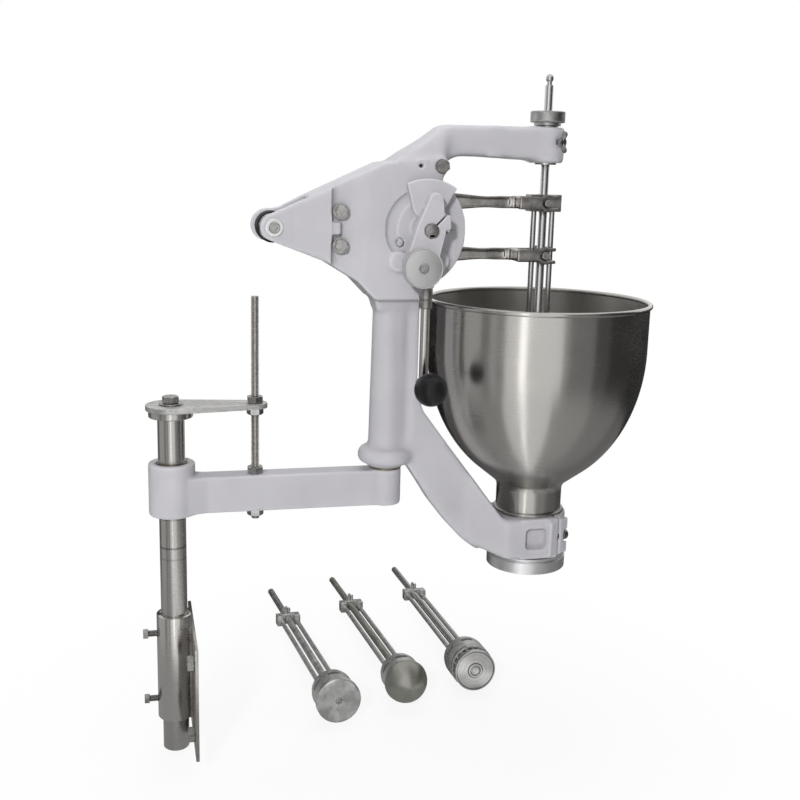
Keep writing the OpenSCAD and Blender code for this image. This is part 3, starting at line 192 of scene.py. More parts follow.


# %% [markdown]
# ## Paint
# The castings carry a thick light grey paint over rough metal. It mottles a little, it is worn to a
# lighter tone on proud edges, it is darkened in the hollows as painted shade, and it has the faint
# peel of sprayed paint.
# Pointiness finds edges and hollows, which works here because the cast skins are dense meshes.

# %% Paint
def paint_finish(name, color):
    finish = new_finish(name, color, 0.0, 0.42)
    shader = shader_of(finish)
    shader.inputs["Specular IOR Level"].default_value = 0.4
    place = object_place(finish)
    mottle = tint(finish, noise_of(finish, place, 14, 6), share(color, 0.94), share(color, 1.04))
    link(finish, mottle, shader.inputs["Base Color"])
    geometry = add_node(finish, "ShaderNodeNewGeometry")
    # pointiness: lighter wear on proud edges, painted shade darkening the hollows
    dim(finish, spread(finish, geometry.outputs["Pointiness"], 0.72, 1.1, 0.44, 0.56))
    link(finish, spread(finish, noise_of(finish, place, 60, 3), 0.36, 0.5), shader.inputs["Roughness"])
    bumped(finish, noise_of(finish, place, 420, 3), 0.12, 0.0006)
    return finish


PAINT = (0.525, 0.514, 0.545)
paint = paint_finish("satin_grey_paint", PAINT)
print("made", paint.name)

# %% [markdown]
# ## Turned and brushed metal
# Round steel is finished on a lathe, so its scratches run round the axis and its highlights stretch
# across them. The scratches are noise of the distance from the axis and of the height along it.
# The tangent runs along the scratches, and a quarter turn puts the stretch across them.

# %% Turned metal
QUARTER_TURN = 0.25


def from_point(finish, point):
    made = add_node(finish, "ShaderNodeVectorMath", operation="SUBTRACT")
    made.inputs[1].default_value = point
    link(finish, object_place(finish), made.inputs[0])
    return made.outputs["Vector"]


def round_axis(finish, offset, axis):
    """The direction round an axis, as long as the distance from it."""
    made = add_node(finish, "ShaderNodeVectorMath", operation="CROSS_PRODUCT")
    made.inputs[0].default_value = axis
    link(finish, offset, made.inputs[1])
    return made.outputs["Vector"]


def length_of(finish, vector):
    made = add_node(finish, "ShaderNodeVectorMath", operation="LENGTH")
    link(finish, vector, made.inputs[0])
    return made.outputs["Value"]


def axis_reach(finish, axis_point, axis):
    return length_of(finish, round_axis(finish, from_point(finish, axis_point), axis))


def turned_finish(name, color, roughness, axis_point, axis, stretch=0.6, lines=2600, wear=0.12,
                  marks=0.05, metal=1.0):
    finish = new_finish(name, color, metal, roughness)
    shader = shader_of(finish)
    shader.inputs["Anisotropic"].default_value = stretch
    shader.inputs["Anisotropic Rotation"].default_value = QUARTER_TURN
    place = object_place(finish)
    offset = from_point(finish, axis_point)
    tangent = round_axis(finish, offset, axis)
    link(finish, tangent, shader.inputs["Tangent"])
    height = add_node(finish, "ShaderNodeVectorMath", operation="DOT_PRODUCT")
    height.inputs[1].default_value = axis
    link(finish, offset, height.inputs[0])
    section = add_node(finish, "ShaderNodeCombineXYZ")
    link(finish, length_of(finish, tangent), section.inputs["X"])
    link(finish, height.outputs["Value"], section.inputs["Y"])
    scratch = noise_of(finish, section.outputs["Vector"], lines, 2)
    cloud = noise_of(finish, place, 30, 5)
    both = add_node(finish, "ShaderNodeMath", operation="MULTIPLY_ADD")
    both.inputs[1].default_value = 0.5
    link(finish, cloud, both.inputs[0])
    half = add_node(finish, "ShaderNodeMath", {1: 0.5}, operation="MULTIPLY")
    link(finish, scratch, half.inputs[0])
    link(finish, half.outputs["Value"], both.inputs[2])
    mixed = both.outputs["Value"]
    link(finish, tint(finish, mixed, share(color, 1 - wear), share(color, 1 + wear / 2)),
         shader.inputs["Base Color"])
    link(finish, spread(finish, mixed, roughness * 0.8, roughness * 1.3), shader.inputs["Roughness"])
    bumped(finish, scratch, marks, 0.0002)
    return finish


def plain_metal(name, color, roughness, wear=0.15, scale=120, bump=0.06, metal=1.0):
    """Plated or forged metal: cloudy colour, uneven gloss and a fine tooth. A dull skin is less metal."""
    finish = new_finish(name, color, metal, roughness)
    shader = shader_of(finish)
    place = object_place(finish)
    cloud = noise_of(finish, place, scale, 6)
    link(finish, tint(finish, cloud, share(color, 1 - wear), share(color, 1 + wear / 2)),
         shader.inputs["Base Color"])
    link(finish, spread(finish, noise_of(finish, place, scale * 3, 4), roughness * 0.75, roughness * 1.35),
         shader.inputs["Roughness"])
    bumped(finish, noise_of(finish, place, scale * 8, 3), bump, 0.0003)
    return finish


FRAME_X = 231.5
FRAME_Z = 260.1
COLUMN_X = -23.5
THROAT = 188
PIVOT_H = 287


def on_frame(x, y, z):
    """A point given in the frame's own place, as in the part's source, in metres."""
    return Vector(((FRAME_X + x) * MM, y * MM, (FRAME_Z + z) * MM))


UP = (0, 0, 1)
BACK = (0, 1, 0)
FRONT = (0, -1, 0)
FACE_Y = -36
plunger_axis = on_frame(THROAT, 0, 0)
column_axis = Vector((COLUMN_X, 0, 0)) * MM

STEEL = (0.5, 0.485, 0.465)
HOPPER_TONE = (0.5, 0.485, 0.46)
hopper_steel = turned_finish("brushed_hopper_steel", HOPPER_TONE, 0.23, plunger_axis, UP, 0.8, 2600, 0.04,
                             0.004)
column_steel = turned_finish("ground_column_steel", STEEL, 0.24, column_axis, UP, 0.7, 2600, 0.03, 0.004)
SLEEVE_TONE = (0.6, 0.58, 0.555)
sleeve_steel = turned_finish("ground_sleeve_steel", SLEEVE_TONE, 0.24, column_axis, UP, 0.7, 2600, 0.03,
                             0.004)
plunger_steel = turned_finish("ground_plunger_steel", (0.56, 0.55, 0.55), 0.2, plunger_axis, UP, 0.4)
foot_alloy = turned_finish("turned_foot_alloy", (0.8, 0.8, 0.81), 0.38, plunger_axis, UP, 0.4, 1200, 0.06,
                           0.01)
disc_place = on_frame(21, 0, PIVOT_H - 41)
disc_alloy = turned_finish("turned_disc_alloy", (0.68, 0.675, 0.68), 0.6, disc_place, BACK, 0.3, 1600, 0.06,
                           0.03)
plate_steel = plain_metal("brushed_plate_steel", (0.46, 0.445, 0.42), 0.32)
# painted light: a lighter copy of the plate steel, so that the lift plate's top reads as catching the light
lift_steel = plain_metal("lift_plate_lit_copy", (0.6, 0.595, 0.58), 0.5)
zinc = plain_metal("zinc_hardware", (0.42, 0.415, 0.405), 0.27, 0.2, 160)
rod_steel = plain_metal("dull_screw_steel", (0.33, 0.32, 0.305), 0.36, 0.25, 200)
height_steel = plain_metal("threaded_rod_steel", (0.62, 0.6, 0.58), 0.3, 0.1, 200)
forged_steel = plain_metal("forged_lever_steel", (0.5, 0.48, 0.46), 0.3, 0.3, 60, 0.15)
collar_steel = plain_metal("knurled_collar_steel", (0.47, 0.465, 0.46), 0.42)
spare_steel = plain_metal("dull_spare_steel", (0.62, 0.615, 0.6), 0.4, 0.2, 140, metal=0.8)
bright_steel = plain_metal("bright_shaft_steel", (0.6, 0.6, 0.6), 0.2, 0.12)
white_washer = plain_metal("bright_washer", (0.82, 0.82, 0.82), 0.4, 0.06)
alloy = turned_finish("turned_alloy", (0.7, 0.7, 0.71), 0.3, plunger_axis, UP, 0.5)
bronze = plain_metal("oiled_bronze", (0.3, 0.26, 0.2), 0.45)
print("metals", len(bpy.data.materials))

# %% [markdown]
# ## Marks of use and painted light
# The hopper is rougher inside than outside and darkened inside as painted shade, the column has
# rings where the arm was clamped before, and the levers carry a painted highlight along their
# channels with painted shade towards their edges. Each mark is a value made from the place on the
# piece, which scales the colour or adds to the roughness of a finish made above.

# %% Marks of use and painted light
def math_of(finish, operation, value, other=0.0):
    made = add_node(finish, "ShaderNodeMath", {1: other}, operation=operation)
    link(finish, value, made.inputs[0])
    return made.outputs["Value"]


def height_of(finish):
    split = add_node(finish, "ShaderNodeSeparateXYZ")
    link(finish, object_place(finish), split.inputs["Vector"])
    return split.outputs["Z"]


def away_from(finish, value, middle):
    return math_of(finish, "ABSOLUTE", math_of(finish, "SUBTRACT", value, middle))


INSIDE_ROUGHER = 0.1
INSIDE_PAINTED_SHADE = 0.9
normal = add_node(hopper_steel, "ShaderNodeTexCoord").outputs["Normal"]
facing = add_node(hopper_steel, "ShaderNodeVectorMath", operation="DOT_PRODUCT")
link(hopper_steel, normal, facing.inputs[0])
link(hopper_steel, from_point(hopper_steel, plunger_axis), facing.inputs[1])
inside = math_of(hopper_steel, "LESS_THAN", facing.outputs["Value"])
rough_input = shader_of(hopper_steel).inputs["Roughness"]
rougher = add_node(hopper_steel, "ShaderNodeMath", {1: INSIDE_ROUGHER}, operation="MULTIPLY_ADD")
link(hopper_steel, inside, rougher.inputs[0])
link(hopper_steel, rough_input.links[0].from_socket, rougher.inputs[2])
link(hopper_steel, rougher.outputs["Value"], rough_input)
# painted shade: the inside of the bowl is darkened
dim(hopper_steel, spread(hopper_steel, inside, 1.0, INSIDE_PAINTED_SHADE, 0, 1))

for ring_z, ring_tone in ((172, 0.45), (158, 0.75), (207, 0.7)):
    off_ring = away_from(column_steel, height_of(column_steel), ring_z * MM)
    dim(column_steel, spread(column_steel, off_ring, ring_tone, 1.0, 0.5 * MM, 1.6 * MM))

LEVER_RISE = 31
lever_middle = (FRAME_Z + PIVOT_H) * MM
off_pivot = away_from(forged_steel, height_of(forged_steel), lever_middle)
off_channel = away_from(forged_steel, off_pivot, LEVER_RISE * MM)
# painted highlight along the middle of each lever, painted shade towards its edges
dim(forged_steel, spread(forged_steel, off_channel, 1.25, 0.7, 1.5 * MM, 6.5 * MM))
print("marks of use on the hopper, the column and the levers")

# %% [markdown]
# ## Black pieces
# The spring is blackened wire with a dull oil film, and the ball is moulded plastic that handling
# has polished. Black needs gloss that varies, or it reads as a hole in the picture.

# %% Black finishes
def black_finish(name, tone, low_gloss, high_gloss, scale):
    finish = new_finish(name, tone, 0.0, low_gloss)
    shader = shader_of(finish)
    place = object_place(finish)
    shader.inputs["Specular IOR Level"].default_value = 0.2
    smear = noise_of(finish, place, scale, 5)
    link(finish, tint(finish, smear, tone, share(tone, 1.8)), shader.inputs["Base Color"])
    link(finish, spread(finish, smear, low_gloss, high_gloss), shader.inputs["Roughness"])
    bumped(finish, noise_of(finish, place, scale * 12, 2), 0.05, 0.0003)
    return finish


spring_black = black_finish("blackened_wire", (0.012, 0.012, 0.013), 0.28, 0.5, 150)
ball_black = black_finish("moulded_black_ball", (0.008, 0.008, 0.009), 0.22, 0.4, 60)
print("black", spring_black.name, ball_black.name)

# %% [markdown]
# ## Finishes for the solids
# Solids that keep their shape take a finish through their material slots. Later cells replace many
# of them by detailed pieces, which take the same finishes.

# %% Finish of each solid
finish_of_slot = {
    "casting": paint, "stainless": plate_steel, "bright_steel": bright_steel, "hardware": zinc,
    "lever_steel": forged_steel, "alloy": alloy, "bronze": bronze, "spring_steel": spring_black,
    "knob_black": ball_black,
}
finish_of_node = {
    "hopper": hopper_steel, "column": column_steel, "column_sleeve": sleeve_steel, "lift_disc": column_steel,
    "height_rod": height_steel, "centre_rod": plunger_steel, "side_rods": plunger_steel,
    "plunger_sleeve": plunger_steel, "plunger_disc": plunger_steel, "upper_yoke": forged_steel,
    "stud_collar": forged_steel, "sleeve_welds": plate_steel, "clamp_screw": rod_steel, "wing_screw": zinc,
    "handle_rod": column_steel, "lift_plate": lift_steel,
}
for spare in ("plain", "dome", "wide"):
    finish_of_node[f"spare_{spare}_cage"] = spare_steel
    finish_of_node[f"spare_{spare}_core"] = spare_steel


def finish_for(node):
    return finish_of_node.get(node, finish_of_slot[slot_of_node[node]])


def dress(piece, finish):
    piece.data.materials.clear()
    piece.data.materials.append(finish)


for node, solid in nodes.items():
    dress(solid, finish_for(node))
print("dressed", len(nodes), "solids")

# %% [markdown]
# ## Modelling helpers
# Operators act on whatever is selected, so every helper clears the selection first. A turned piece
# starts as one vertex, which is extruded along the half section and spun round the axis. A finished
# piece is applied, so that its place is in its mesh, and is told which body it rides on.

# %% Modelling helpers
def clear_selection():
    bpy.ops.object.select_all(action="DESELECT")


def only(piece):
    clear_selection()
    piece.select_set(True)
    bpy.context.view_layer.objects.active = piece


def named(name):
    piece = bpy.context.active_object
    piece.name = name
    piece.data.name = name
    return piece


def apply_all(piece):
    only(piece)
    bpy.ops.object.transform_apply(location=True, rotation=True, scale=True)
    return piece


def place(piece, at, axis=UP, turn=0):
    """Sets the piece's own Z along an axis and its origin at a point."""
    lean = Vector(axis).to_track_quat("Z", "Y").to_matrix().to_4x4()
    piece.matrix_world = Matrix.Translation(Vector(at)) @ lean @ Matrix.Rotation(turn, 4, "Z")
    return apply_all(piece)


def smooth(piece, angle=35):
    only(piece)
    bpy.ops.object.shade_smooth_by_angle(angle=math.radians(angle))
    return piece


def use_modifier(piece, kind, **settings):
    only(piece)
    modifier = piece.modifiers.new(kind.lower(), kind)
    for key, value in settings.items():
        setattr(modifier, key, value)
    bpy.ops.object.modifier_apply(modifier=modifier.name)
    return piece


def join(name, parts):
    clear_selection()
    for part in parts:
        part.select_set(True)
    bpy.context.view_layer.objects.active = parts[0]
    if len(parts) > 1:
        bpy.ops.object.join()
    return named(name)


def stand_for(piece, node, finish=None):
    """The piece rides where its solid rides, takes its slot and hides it."""
    dress(piece, finish or finish_for(node))
    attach(piece, body_of_node[node])
    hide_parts(node)
    print(piece.name, "stands for", node, "with", len(piece.data.polygons), "faces")
    return piece


def copy_of(piece, name):
    twin = bpy.data.objects.new(name, piece.data.copy())
    bpy.context.scene.collection.objects.link(twin)
    return twin


def eased(profile, ease):
    """Cuts each corner of a half section by a short chamfer, where both sides are long enough."""
    points = [Vector(p) for p in profile]
    made = [points[0]]
    for before, corner, after in zip(points, points[1:], points[2:]):
        cut = min(ease, (corner - before).length * 0.45, (after - corner).length * 0.45)
        made.append(corner + (before - corner).normalized() * cut)
        made.append(corner + (after - corner).normalized() * cut)
    return [tuple(p) for p in made + [points[-1]]]


def drawn_line(name, points):
    """One vertex, moved to the first point and extruded along the others, in metres."""
    clear_selection()
    bpy.ops.mesh.primitive_plane_add(size=MM)
    piece = named(name)
    bpy.ops.object.mode_set(mode="EDIT")
    bpy.ops.mesh.select_all(action="SELECT")
    bpy.ops.mesh.merge(type="CENTER")
    bpy.ops.transform.translate(value=points[0])
    for start, end in zip(points, points[1:]):
        bpy.ops.mesh.extrude_region_move(TRANSFORM_OT_translate={"value": end - start})
    bpy.ops.object.mode_set(mode="OBJECT")
    return piece


def turned(name, profile, ease=0.6, steps=96):
    """Spins a half section, given as radius and height in millimetres, round Z."""
    line = [Vector((r * MM, 0, h * MM)) for r, h in (eased(profile, ease) if ease else profile)]
    piece = drawn_line(name, line)
    bpy.ops.object.mode_set(mode="EDIT")
    bpy.ops.mesh.select_all(action="SELECT")
    bpy.ops.mesh.spin(steps=steps, angle=math.tau, center=(0, 0, 0), axis=UP)
    bpy.ops.mesh.select_all(action="SELECT")
    bpy.ops.mesh.remove_doubles(threshold=1e-6)
    bpy.ops.mesh.normals_make_consistent(inside=False)
    bpy.ops.object.mode_set(mode="OBJECT")
    return smooth(piece)


print("helpers ready")

# %% [markdown]
# ## Cast skins
# A casting has no sharp edge: sand moulds round every corner and fill every angle. Bevelling each
# edge of such a shape by hand is slow, so a copy of the solid is merged, remeshed in small cubes
# and smoothed, which rounds outer edges and fills inner ones alike, and is thinned afterwards.

# %% Cast skins
def skin_of(node, name):
    skin = copy_of(nodes[node], name)
    only(skin)
    bpy.ops.object.mode_set(mode="EDIT")
    bpy.ops.mesh.select_all(action="SELECT")
    bpy.ops.mesh.remove_doubles(threshold=1e-5)
    bpy.ops.object.mode_set(mode="OBJECT")
    return skin


def thinned(skin, most_triangles):
    triangles = 2 * len(skin.data.polygons)
    if triangles > most_triangles:
        use_modifier(skin, "DECIMATE", ratio=most_triangles / triangles)
    only(skin)
    bpy.ops.object.shade_smooth()
    return skin


def cast(skin, cube, rounds, most_triangles):
    use_modifier(skin, "REMESH", mode="VOXEL", voxel_size=cube * MM)
    use_modifier(skin, "SMOOTH", factor=0.5, iterations=rounds)
    return thinned(skin, most_triangles)


def rounded_block(name, low, high, bevel):
    """A box between two corners, in millimetres, with rounded edges."""
    clear_selection()
    middle = (Vector(low) + Vector(high)) / 2
    bpy.ops.mesh.primitive_cube_add(size=1, location=middle * MM)
    block = named(name)
    block.scale = (Vector(high) - Vector(low)) * MM
    apply_all(block)
    bpy.ops.object.mode_set(mode="EDIT")
    bpy.ops.mesh.select_all(action="SELECT")
    bpy.ops.mesh.bevel(offset=bevel * MM, segments=4, affect="EDGES")
    bpy.ops.object.mode_set(mode="OBJECT")
    return block


def shifted(x, y, z):
    return (FRAME_X + x, y, FRAME_Z + z)


def soft_step(value, start, end):
    t = min(1, max(0, (value - start) / (end - start)))
    return t * t * (3 - 2 * t)


# tab between the nose's bolts, pads beside the crank's disc, and a bulge at the foot of the tube
tab = rounded_block("nose_tab", shifted(-80, -41, PIVOT_H - 8), shifted(-65, -34, PIVOT_H + 8), 2.5)
pad_section = [(0, -6), (12.5, -6), (12.5, 2), (11.7, 3.7), (10, 4.5), (0, 4.5)]
left_pad = place(turned("left_pad", pad_section, 0), on_frame(2, FACE_Y, 250), FRONT)
right_pad = place(turned("right_pad", pad_section, 0), on_frame(50, FACE_Y, 250), FRONT)
bulge_section = [(18, 5), (29, 5), (33, 8.5), (34, 14), (33, 19.5), (29, 24), (18, 24), (18, 5)]
bulge = place(turned("tube_bulge", bulge_section, 0), on_frame(0, 0, 0))
added = [skin_of("frame_casting", "frame_casting_skin"), tab, left_pad, right_pad, bulge]
frame_skin = join("frame_casting_skin", added)
use_modifier(frame_skin, "REMESH", mode="VOXEL", voxel_size=1.5 * MM)


POCKET_X = 183
POCKET_Z = -90
POCKET_HALF = 11.5
POCKET_DEEPER = 2.6


def hollow_face(vertex):
    """Draws the front face in right of the nose's step, beside the swivel tube and in the clamp's pocket."""
    x, y, z = (vertex.co[0] / MM - FRAME_X, vertex.co[1] / MM, vertex.co[2] / MM - FRAME_Z)
    if -40 < y < -30 and -78 < x < -30:
        dish = soft_step(x, -77, -72) * (1 - soft_step(x, -60, -32))
        vertex.co[1] += 3.0 * MM * dish * soft_step(-y, 30, 34)
    if y < -8 and 12 < x < 32 and 20 < z < 215:
        valley = math.exp(-((x - 20) / 4.5) ** 2)
        ends = soft_step(z, 20, 50) * (1 - soft_step(z, 170, 212))
        vertex.co[1] += 4.0 * MM * valley * ends
    if -44 < y < -39 and max(abs(x - POCKET_X), abs(z - POCKET_Z)) < POCKET_HALF:
        vertex.co[1] += POCKET_DEEPER * MM


def soft_places(vertex):
    """Names of the softer parts of the casting that a point is in."""
    x, y, z = (vertex.co[0] / MM - FRAME_X, vertex.co[1] / MM, vertex.co[2] / MM - FRAME_Z)
    crank_face = y < -26 and -34 < x < 80 and 232 < z < 332
    tab_face = y < -26 and -92 < x < -56 and abs(z - PIVOT_H) < 14
    oil_hole = y < -20 and math.hypot(x - 26, z - PIVOT_H - 71) < 8
    clamp = x > 164 and z < 20
    if crank_face or tab_face or oil_hole or clamp or x < -112:
        return []
    names = ["all_over"]
    if z > 335 and 0 < x < 110 or z > 360 and x > 125:
        names.append("arm_root")
    if z < 30 and x > 36:
        names.append("leg")
    return names


for vertex in frame_skin.data.vertices:
    hollow_face(vertex)
use_modifier(frame_skin, "SMOOTH", factor=0.5, iterations=8)
members = {"all_over": [], "arm_root": [], "leg": []}
for vertex in frame_skin.data.vertices:
    for name in soft_places(vertex):
        members[name].append(vertex.index)
for name, rounds in (("all_over", 30), ("arm_root", 90), ("leg", 70)):
    group = frame_skin.vertex_groups.new(name=name)
    group.add(members[name], 1.0, "REPLACE")
    use_modifier(frame_skin, "SMOOTH", factor=0.5, iterations=rounds, vertex_group=name)
frame_skin.vertex_groups.clear()
stand_for(thinned(frame_skin, 185000), "frame_casting")

NOSE_X = -141
LUG_DRAW = 0.15
cover_skin = skin_of("rear_cover", "rear_cover_skin")
use_modifier(cover_skin, "REMESH", mode="VOXEL", voxel_size=1.6 * MM)
nose = on_frame(NOSE_X, 0, PIVOT_H)
for vertex in cover_skin.data.vertices:
    # the lug behind the spring is drawn in round the pivot
    draw = LUG_DRAW * (1 - soft_step(vertex.co[0] / MM - FRAME_X, NOSE_X, NOSE_X + 60))
    vertex.co[0] += (nose[0] - vertex.co[0]) * draw
    vertex.co[2] += (nose[2] - vertex.co[2]) * draw
use_modifier(cover_skin, "SMOOTH", factor=0.5, iterations=8)
only(cover_skin)
bpy.ops.object.shade_smooth()
stand_for(cover_skin, "rear_cover")
stand_for(cast(skin_of("swing_arm", "swing_arm_skin"), 1.5, 16, 90000), "swing_arm")

SHAFT_X = 32
HANDLE_X = SHAFT_X - 2.5
CRANK_MID = -58
BOSS_TOP = 222
BOSS_SHARE = 0.66
crank_skin = skin_of("crank_arm", "crank_arm_skin")
use_modifier(crank_skin, "REMESH", mode="VOXEL", voxel_size=0.8 * MM)
handle = on_frame(HANDLE_X, CRANK_MID, 0)
for vertex in crank_skin.data.vertices:
    # the boss round the handle is thinned, so that the ferrule covers it
    if vertex.co[2] < (FRAME_Z + BOSS_TOP) * MM:
        vertex.co[0] = handle[0] + (vertex.co[0] - handle[0]) * BOSS_SHARE
        vertex.co[1] = handle[1] + (vertex.co[1] - handle[1]) * BOSS_SHARE
use_modifier(crank_skin, "SMOOTH", factor=0.5, iterations=6)
stand_for(thinned(crank_skin, 90000), "crank_arm")

# %% [markdown]
# ## Hopper
# The hopper is spun from sheet steel: a straight wall under a rolled rim, a round bowl, a cone and a
# neck. It could be a stack of scaled rings, but spinning its true half section gives the wall its
# thickness and the rim its bead in one go. The corner between cone and neck is a short curve.

# %% Hopper
RIM_UP = 200
RIM_ROLL = 3
BOWL_R = 134.5
BOWL_STRAIGHT = 55
BOWL_DEEP = 176
BOWL_ARC = math.radians(59)
NECK_R = 41
NECK_COLLAR_R = 44
SPIGOT_R = 38
WALL = 2
CLAMP_TOP = -64
CLAMP_FOOT = -116


def rounded_corner(before, corner, after, size, steps=6):
    """Points of a short curve that takes the place of a corner."""
    before, corner, after = Vector(before), Vector(corner), Vector(after)
    start = corner + (before - corner).normalized() * size
    end = corner + (after - corner).normalized() * size
    line = []
    for i in range(steps + 1):
        t = i / steps
        line.append(tuple(start * (1 - t) ** 2 + corner * 2 * t * (1 - t) + end * t ** 2))
    return line


def bowl_line(inset, steps=36):
    """Half section of the bowl from below the rim to the neck, moved in by the inset."""
    wide = BOWL_R - inset
    deep = BOWL_DEEP - inset
    arc_z = RIM_UP - BOWL_STRAIGHT
    line = []
    for i in range(steps + 1):
        a = BOWL_ARC * i / steps
        line.append((wide * math.cos(a), arc_z - deep * math.sin(a)))
    slope = deep * math.cos(BOWL_ARC) / (wide * math.sin(BOWL_ARC))
    last_r, last_z = line[-1]
    neck_r = NECK_R - inset
    neck_top = (neck_r, last_z - (last_r - neck_r) * slope)
    neck_foot = (neck_r, CLAMP_TOP + 4)
    return line + rounded_corner(line[-1], neck_top, neck_foot, 7) + [neck_foot]


bead_start = math.radians(228)
bead_end = math.radians(-90)
bead_steps = 20
bead = []
for i in range(bead_steps + 1):
    a = bead_start + (bead_end - bead_start) * i / bead_steps
    bead.append((BOWL_R + RIM_ROLL * math.cos(a), RIM_UP + RIM_ROLL * math.sin(a)))
neck_collar = [(NECK_COLLAR_R - 0.8, CLAMP_TOP + 4), (NECK_COLLAR_R, CLAMP_TOP + 3.2),
               (NECK_COLLAR_R, CLAMP_TOP + 0.8), (NECK_COLLAR_R - 0.8, CLAMP_TOP)]
spigot = [(SPIGOT_R, CLAMP_TOP), (SPIGOT_R, CLAMP_FOOT + 1), (SPIGOT_R - WALL, CLAMP_FOOT + 1)]
hopper_section = bead + bowl_line(0) + neck_collar + spigot + bowl_line(WALL)[::-1] + [bead[0]]
hopper_shell = turned("hopper_shell", hopper_section, 0, 160)
stand_for(place(hopper_shell, plunger_axis), "hopper")

# %% [markdown]
# ## Cylinder, column and plunger rods
# These are lathe work as well: chamfered ends, a grooved foot ring under the hopper, and a centre
# rod that ends in a neck and a ball for the adjusting collar. Each is one spun half section.

# %% Turned rods and rings
FOOT_R = 49.5
FOOT_TOP = -117
FOOT_LOW = -136
BORE_R = 26.3
cylinder_section = [
    (BORE_R, -25), (35.9, -25), (35.9, FOOT_TOP + 1), (SPIGOT_R + 2, FOOT_TOP + 1), (SPIGOT_R + 2, FOOT_TOP),
    (FOOT_R - 1.4, FOOT_TOP), (FOOT_R - 1.4, FOOT_TOP - 3), (FOOT_R - 2.4, FOOT_TOP - 3.4),
    (FOOT_R - 2.4, FOOT_TOP - 4.4), (FOOT_R, FOOT_TOP - 4.8), (FOOT_R, FOOT_LOW), (BORE_R + 4, FOOT_LOW),
    (BORE_R, FOOT_LOW + 4), (BORE_R, -25)]
stand_for(place(turned("cylinder_turned", cylinder_section, 0.5, 128), plunger_axis), "cylinder_body",
          foot_alloy)

COLUMN_R = 15.5
COLUMN_FOOT = -87
COLUMN_TOP = 328
column_section = [(0, COLUMN_FOOT), (COLUMN_R, COLUMN_FOOT), (COLUMN_R, COLUMN_TOP), (0, COLUMN_TOP)]
stand_for(place(turned("column_turned", column_section, 1.2), column_axis), "column")
disc_section = [(4.9, COLUMN_TOP), (25.5, COLUMN_TOP), (25.5, COLUMN_TOP + 8), (4.9, COLUMN_TOP + 8),
                (4.9, COLUMN_TOP)]
stand_for(place(turned("lift_disc_turned", disc_section, 0.8), column_axis), "lift_disc")

ROD_FOOT = -132
TIP_R = 4.8
TIP_Z = 462.2
ball_tip = []
for i in range(20):
    a = math.radians(40 + 7 * i)
    ball_tip.append((TIP_R * math.sin(a), TIP_Z - TIP_R * math.cos(a)))
rod_neck = [(5, 453.6), (4.4, 454.6), (3.1, 455), (3.1, 458)]
centre_section = [(0, ROD_FOOT), (5, ROD_FOOT)] + rod_neck + ball_tip + [(0, 467)]
stand_for(place(turned("centre_rod_turned", centre_section, 0, 48), plunger_axis), "centre_rod")


def plain_rod(name, radius, low, high, ease=0.5, steps=40):
    return turned(name, [(0, low), (radius, low), (radius, high), (0, high)], ease, steps)


SIDE_ROD_R = 3.3
SIDE_ROD_DX = 11.6
side_rods = []
for side in (-1, 1):
    rod = plain_rod("side_rod", SIDE_ROD_R, -62, 328)
    side_rods.append(place(rod, on_frame(THROAT + side * SIDE_ROD_DX, 0, 0)))
stand_for(join("side_rods_turned", side_rods), "side_rods")

# %% [markdown]
# ## Nuts, bolts and washers
# A hexagon bar in the lathe gets its corners turned off, which leaves the curved edges that make a
# nut look like a nut. Here a six-sided cylinder is cut by a turned blank that has that chamfer.
# Socket screws are turned heads with a hexagon sunk in them.

# %% Fastener shapes
def cut(piece, tool, operation):
    """Joins, subtracts or keeps the common part of two closed meshes, and removes the tool."""
    use_modifier(piece, "BOOLEAN", operation=operation, object=tool, solver="EXACT")
    bpy.data.objects.remove(tool)
    return piece


def hex_prism(name, across, low, high):
    clear_selection()
    bpy.ops.mesh.primitive_cylinder_add(vertices=6, radius=across / math.sqrt(3) * MM,
                                        depth=(high - low) * MM,
                                        location=(0, 0, (high + low) / 2 * MM))
    return apply_all(named(name))


def hex_block(name, across, height, hole=0):
    """A hexagonal head or nut that stands on z = 0."""
    piece = hex_prism(name, across, 0, height)
    corner = across / math.sqrt(3) + 0.5
    flat = across / 2 * 0.95
    drop = (corner - flat) * math.tan(math.radians(30))
    blank = turned("blank", [(0, 0), (flat, 0), (corner, drop), (corner, height - drop), (flat, height),
                             (0, height)], 0, 48)
    cut(piece, blank, "INTERSECT")
    if hole:
        cut(piece, plain_rod("hole", hole, -1, height + 1, 0), "DIFFERENCE")
    return smooth(piece, 25)


def washer(name, outer, inner, thick):
    return turned(name, [(inner, 0), (outer, 0), (outer, thick), (inner, thick), (inner, 0)], 0.4, 48)


def socket_head(name, radius, height, key, ease=0.8):
    """A round screw head that stands on z = 0, with a hexagon socket."""
    piece = turned(name, [(0, 0), (radius, 0), (radius, height), (0, height)], ease, 40)
    cut(piece, hex_prism("socket", key, height * 0.4, height + 1), "DIFFERENCE")
    return smooth(piece, 25)


LEFT = (-1, 0, 0)
NUT_AF = 17
NUT_H = 8
ROD_X = 73.5
ROD_R = 4.9
nut = hex_block("lock_nut", NUT_AF, NUT_H, ROD_R + 0.05)


def nut_row(name, heights):
    nuts = [place(copy_of(nut, name), Vector((ROD_X, 0, h)) * MM, UP, 0.4 * i) for i, h in enumerate(heights)]
    return join(name, nuts)


stand_for(nut_row("rod_nuts_hex", (342.1, 328.1)), "rod_nuts")
stand_for(nut_row("arm_nuts_hex", (257, 205)), "arm_nuts")
bpy.data.objects.remove(nut)

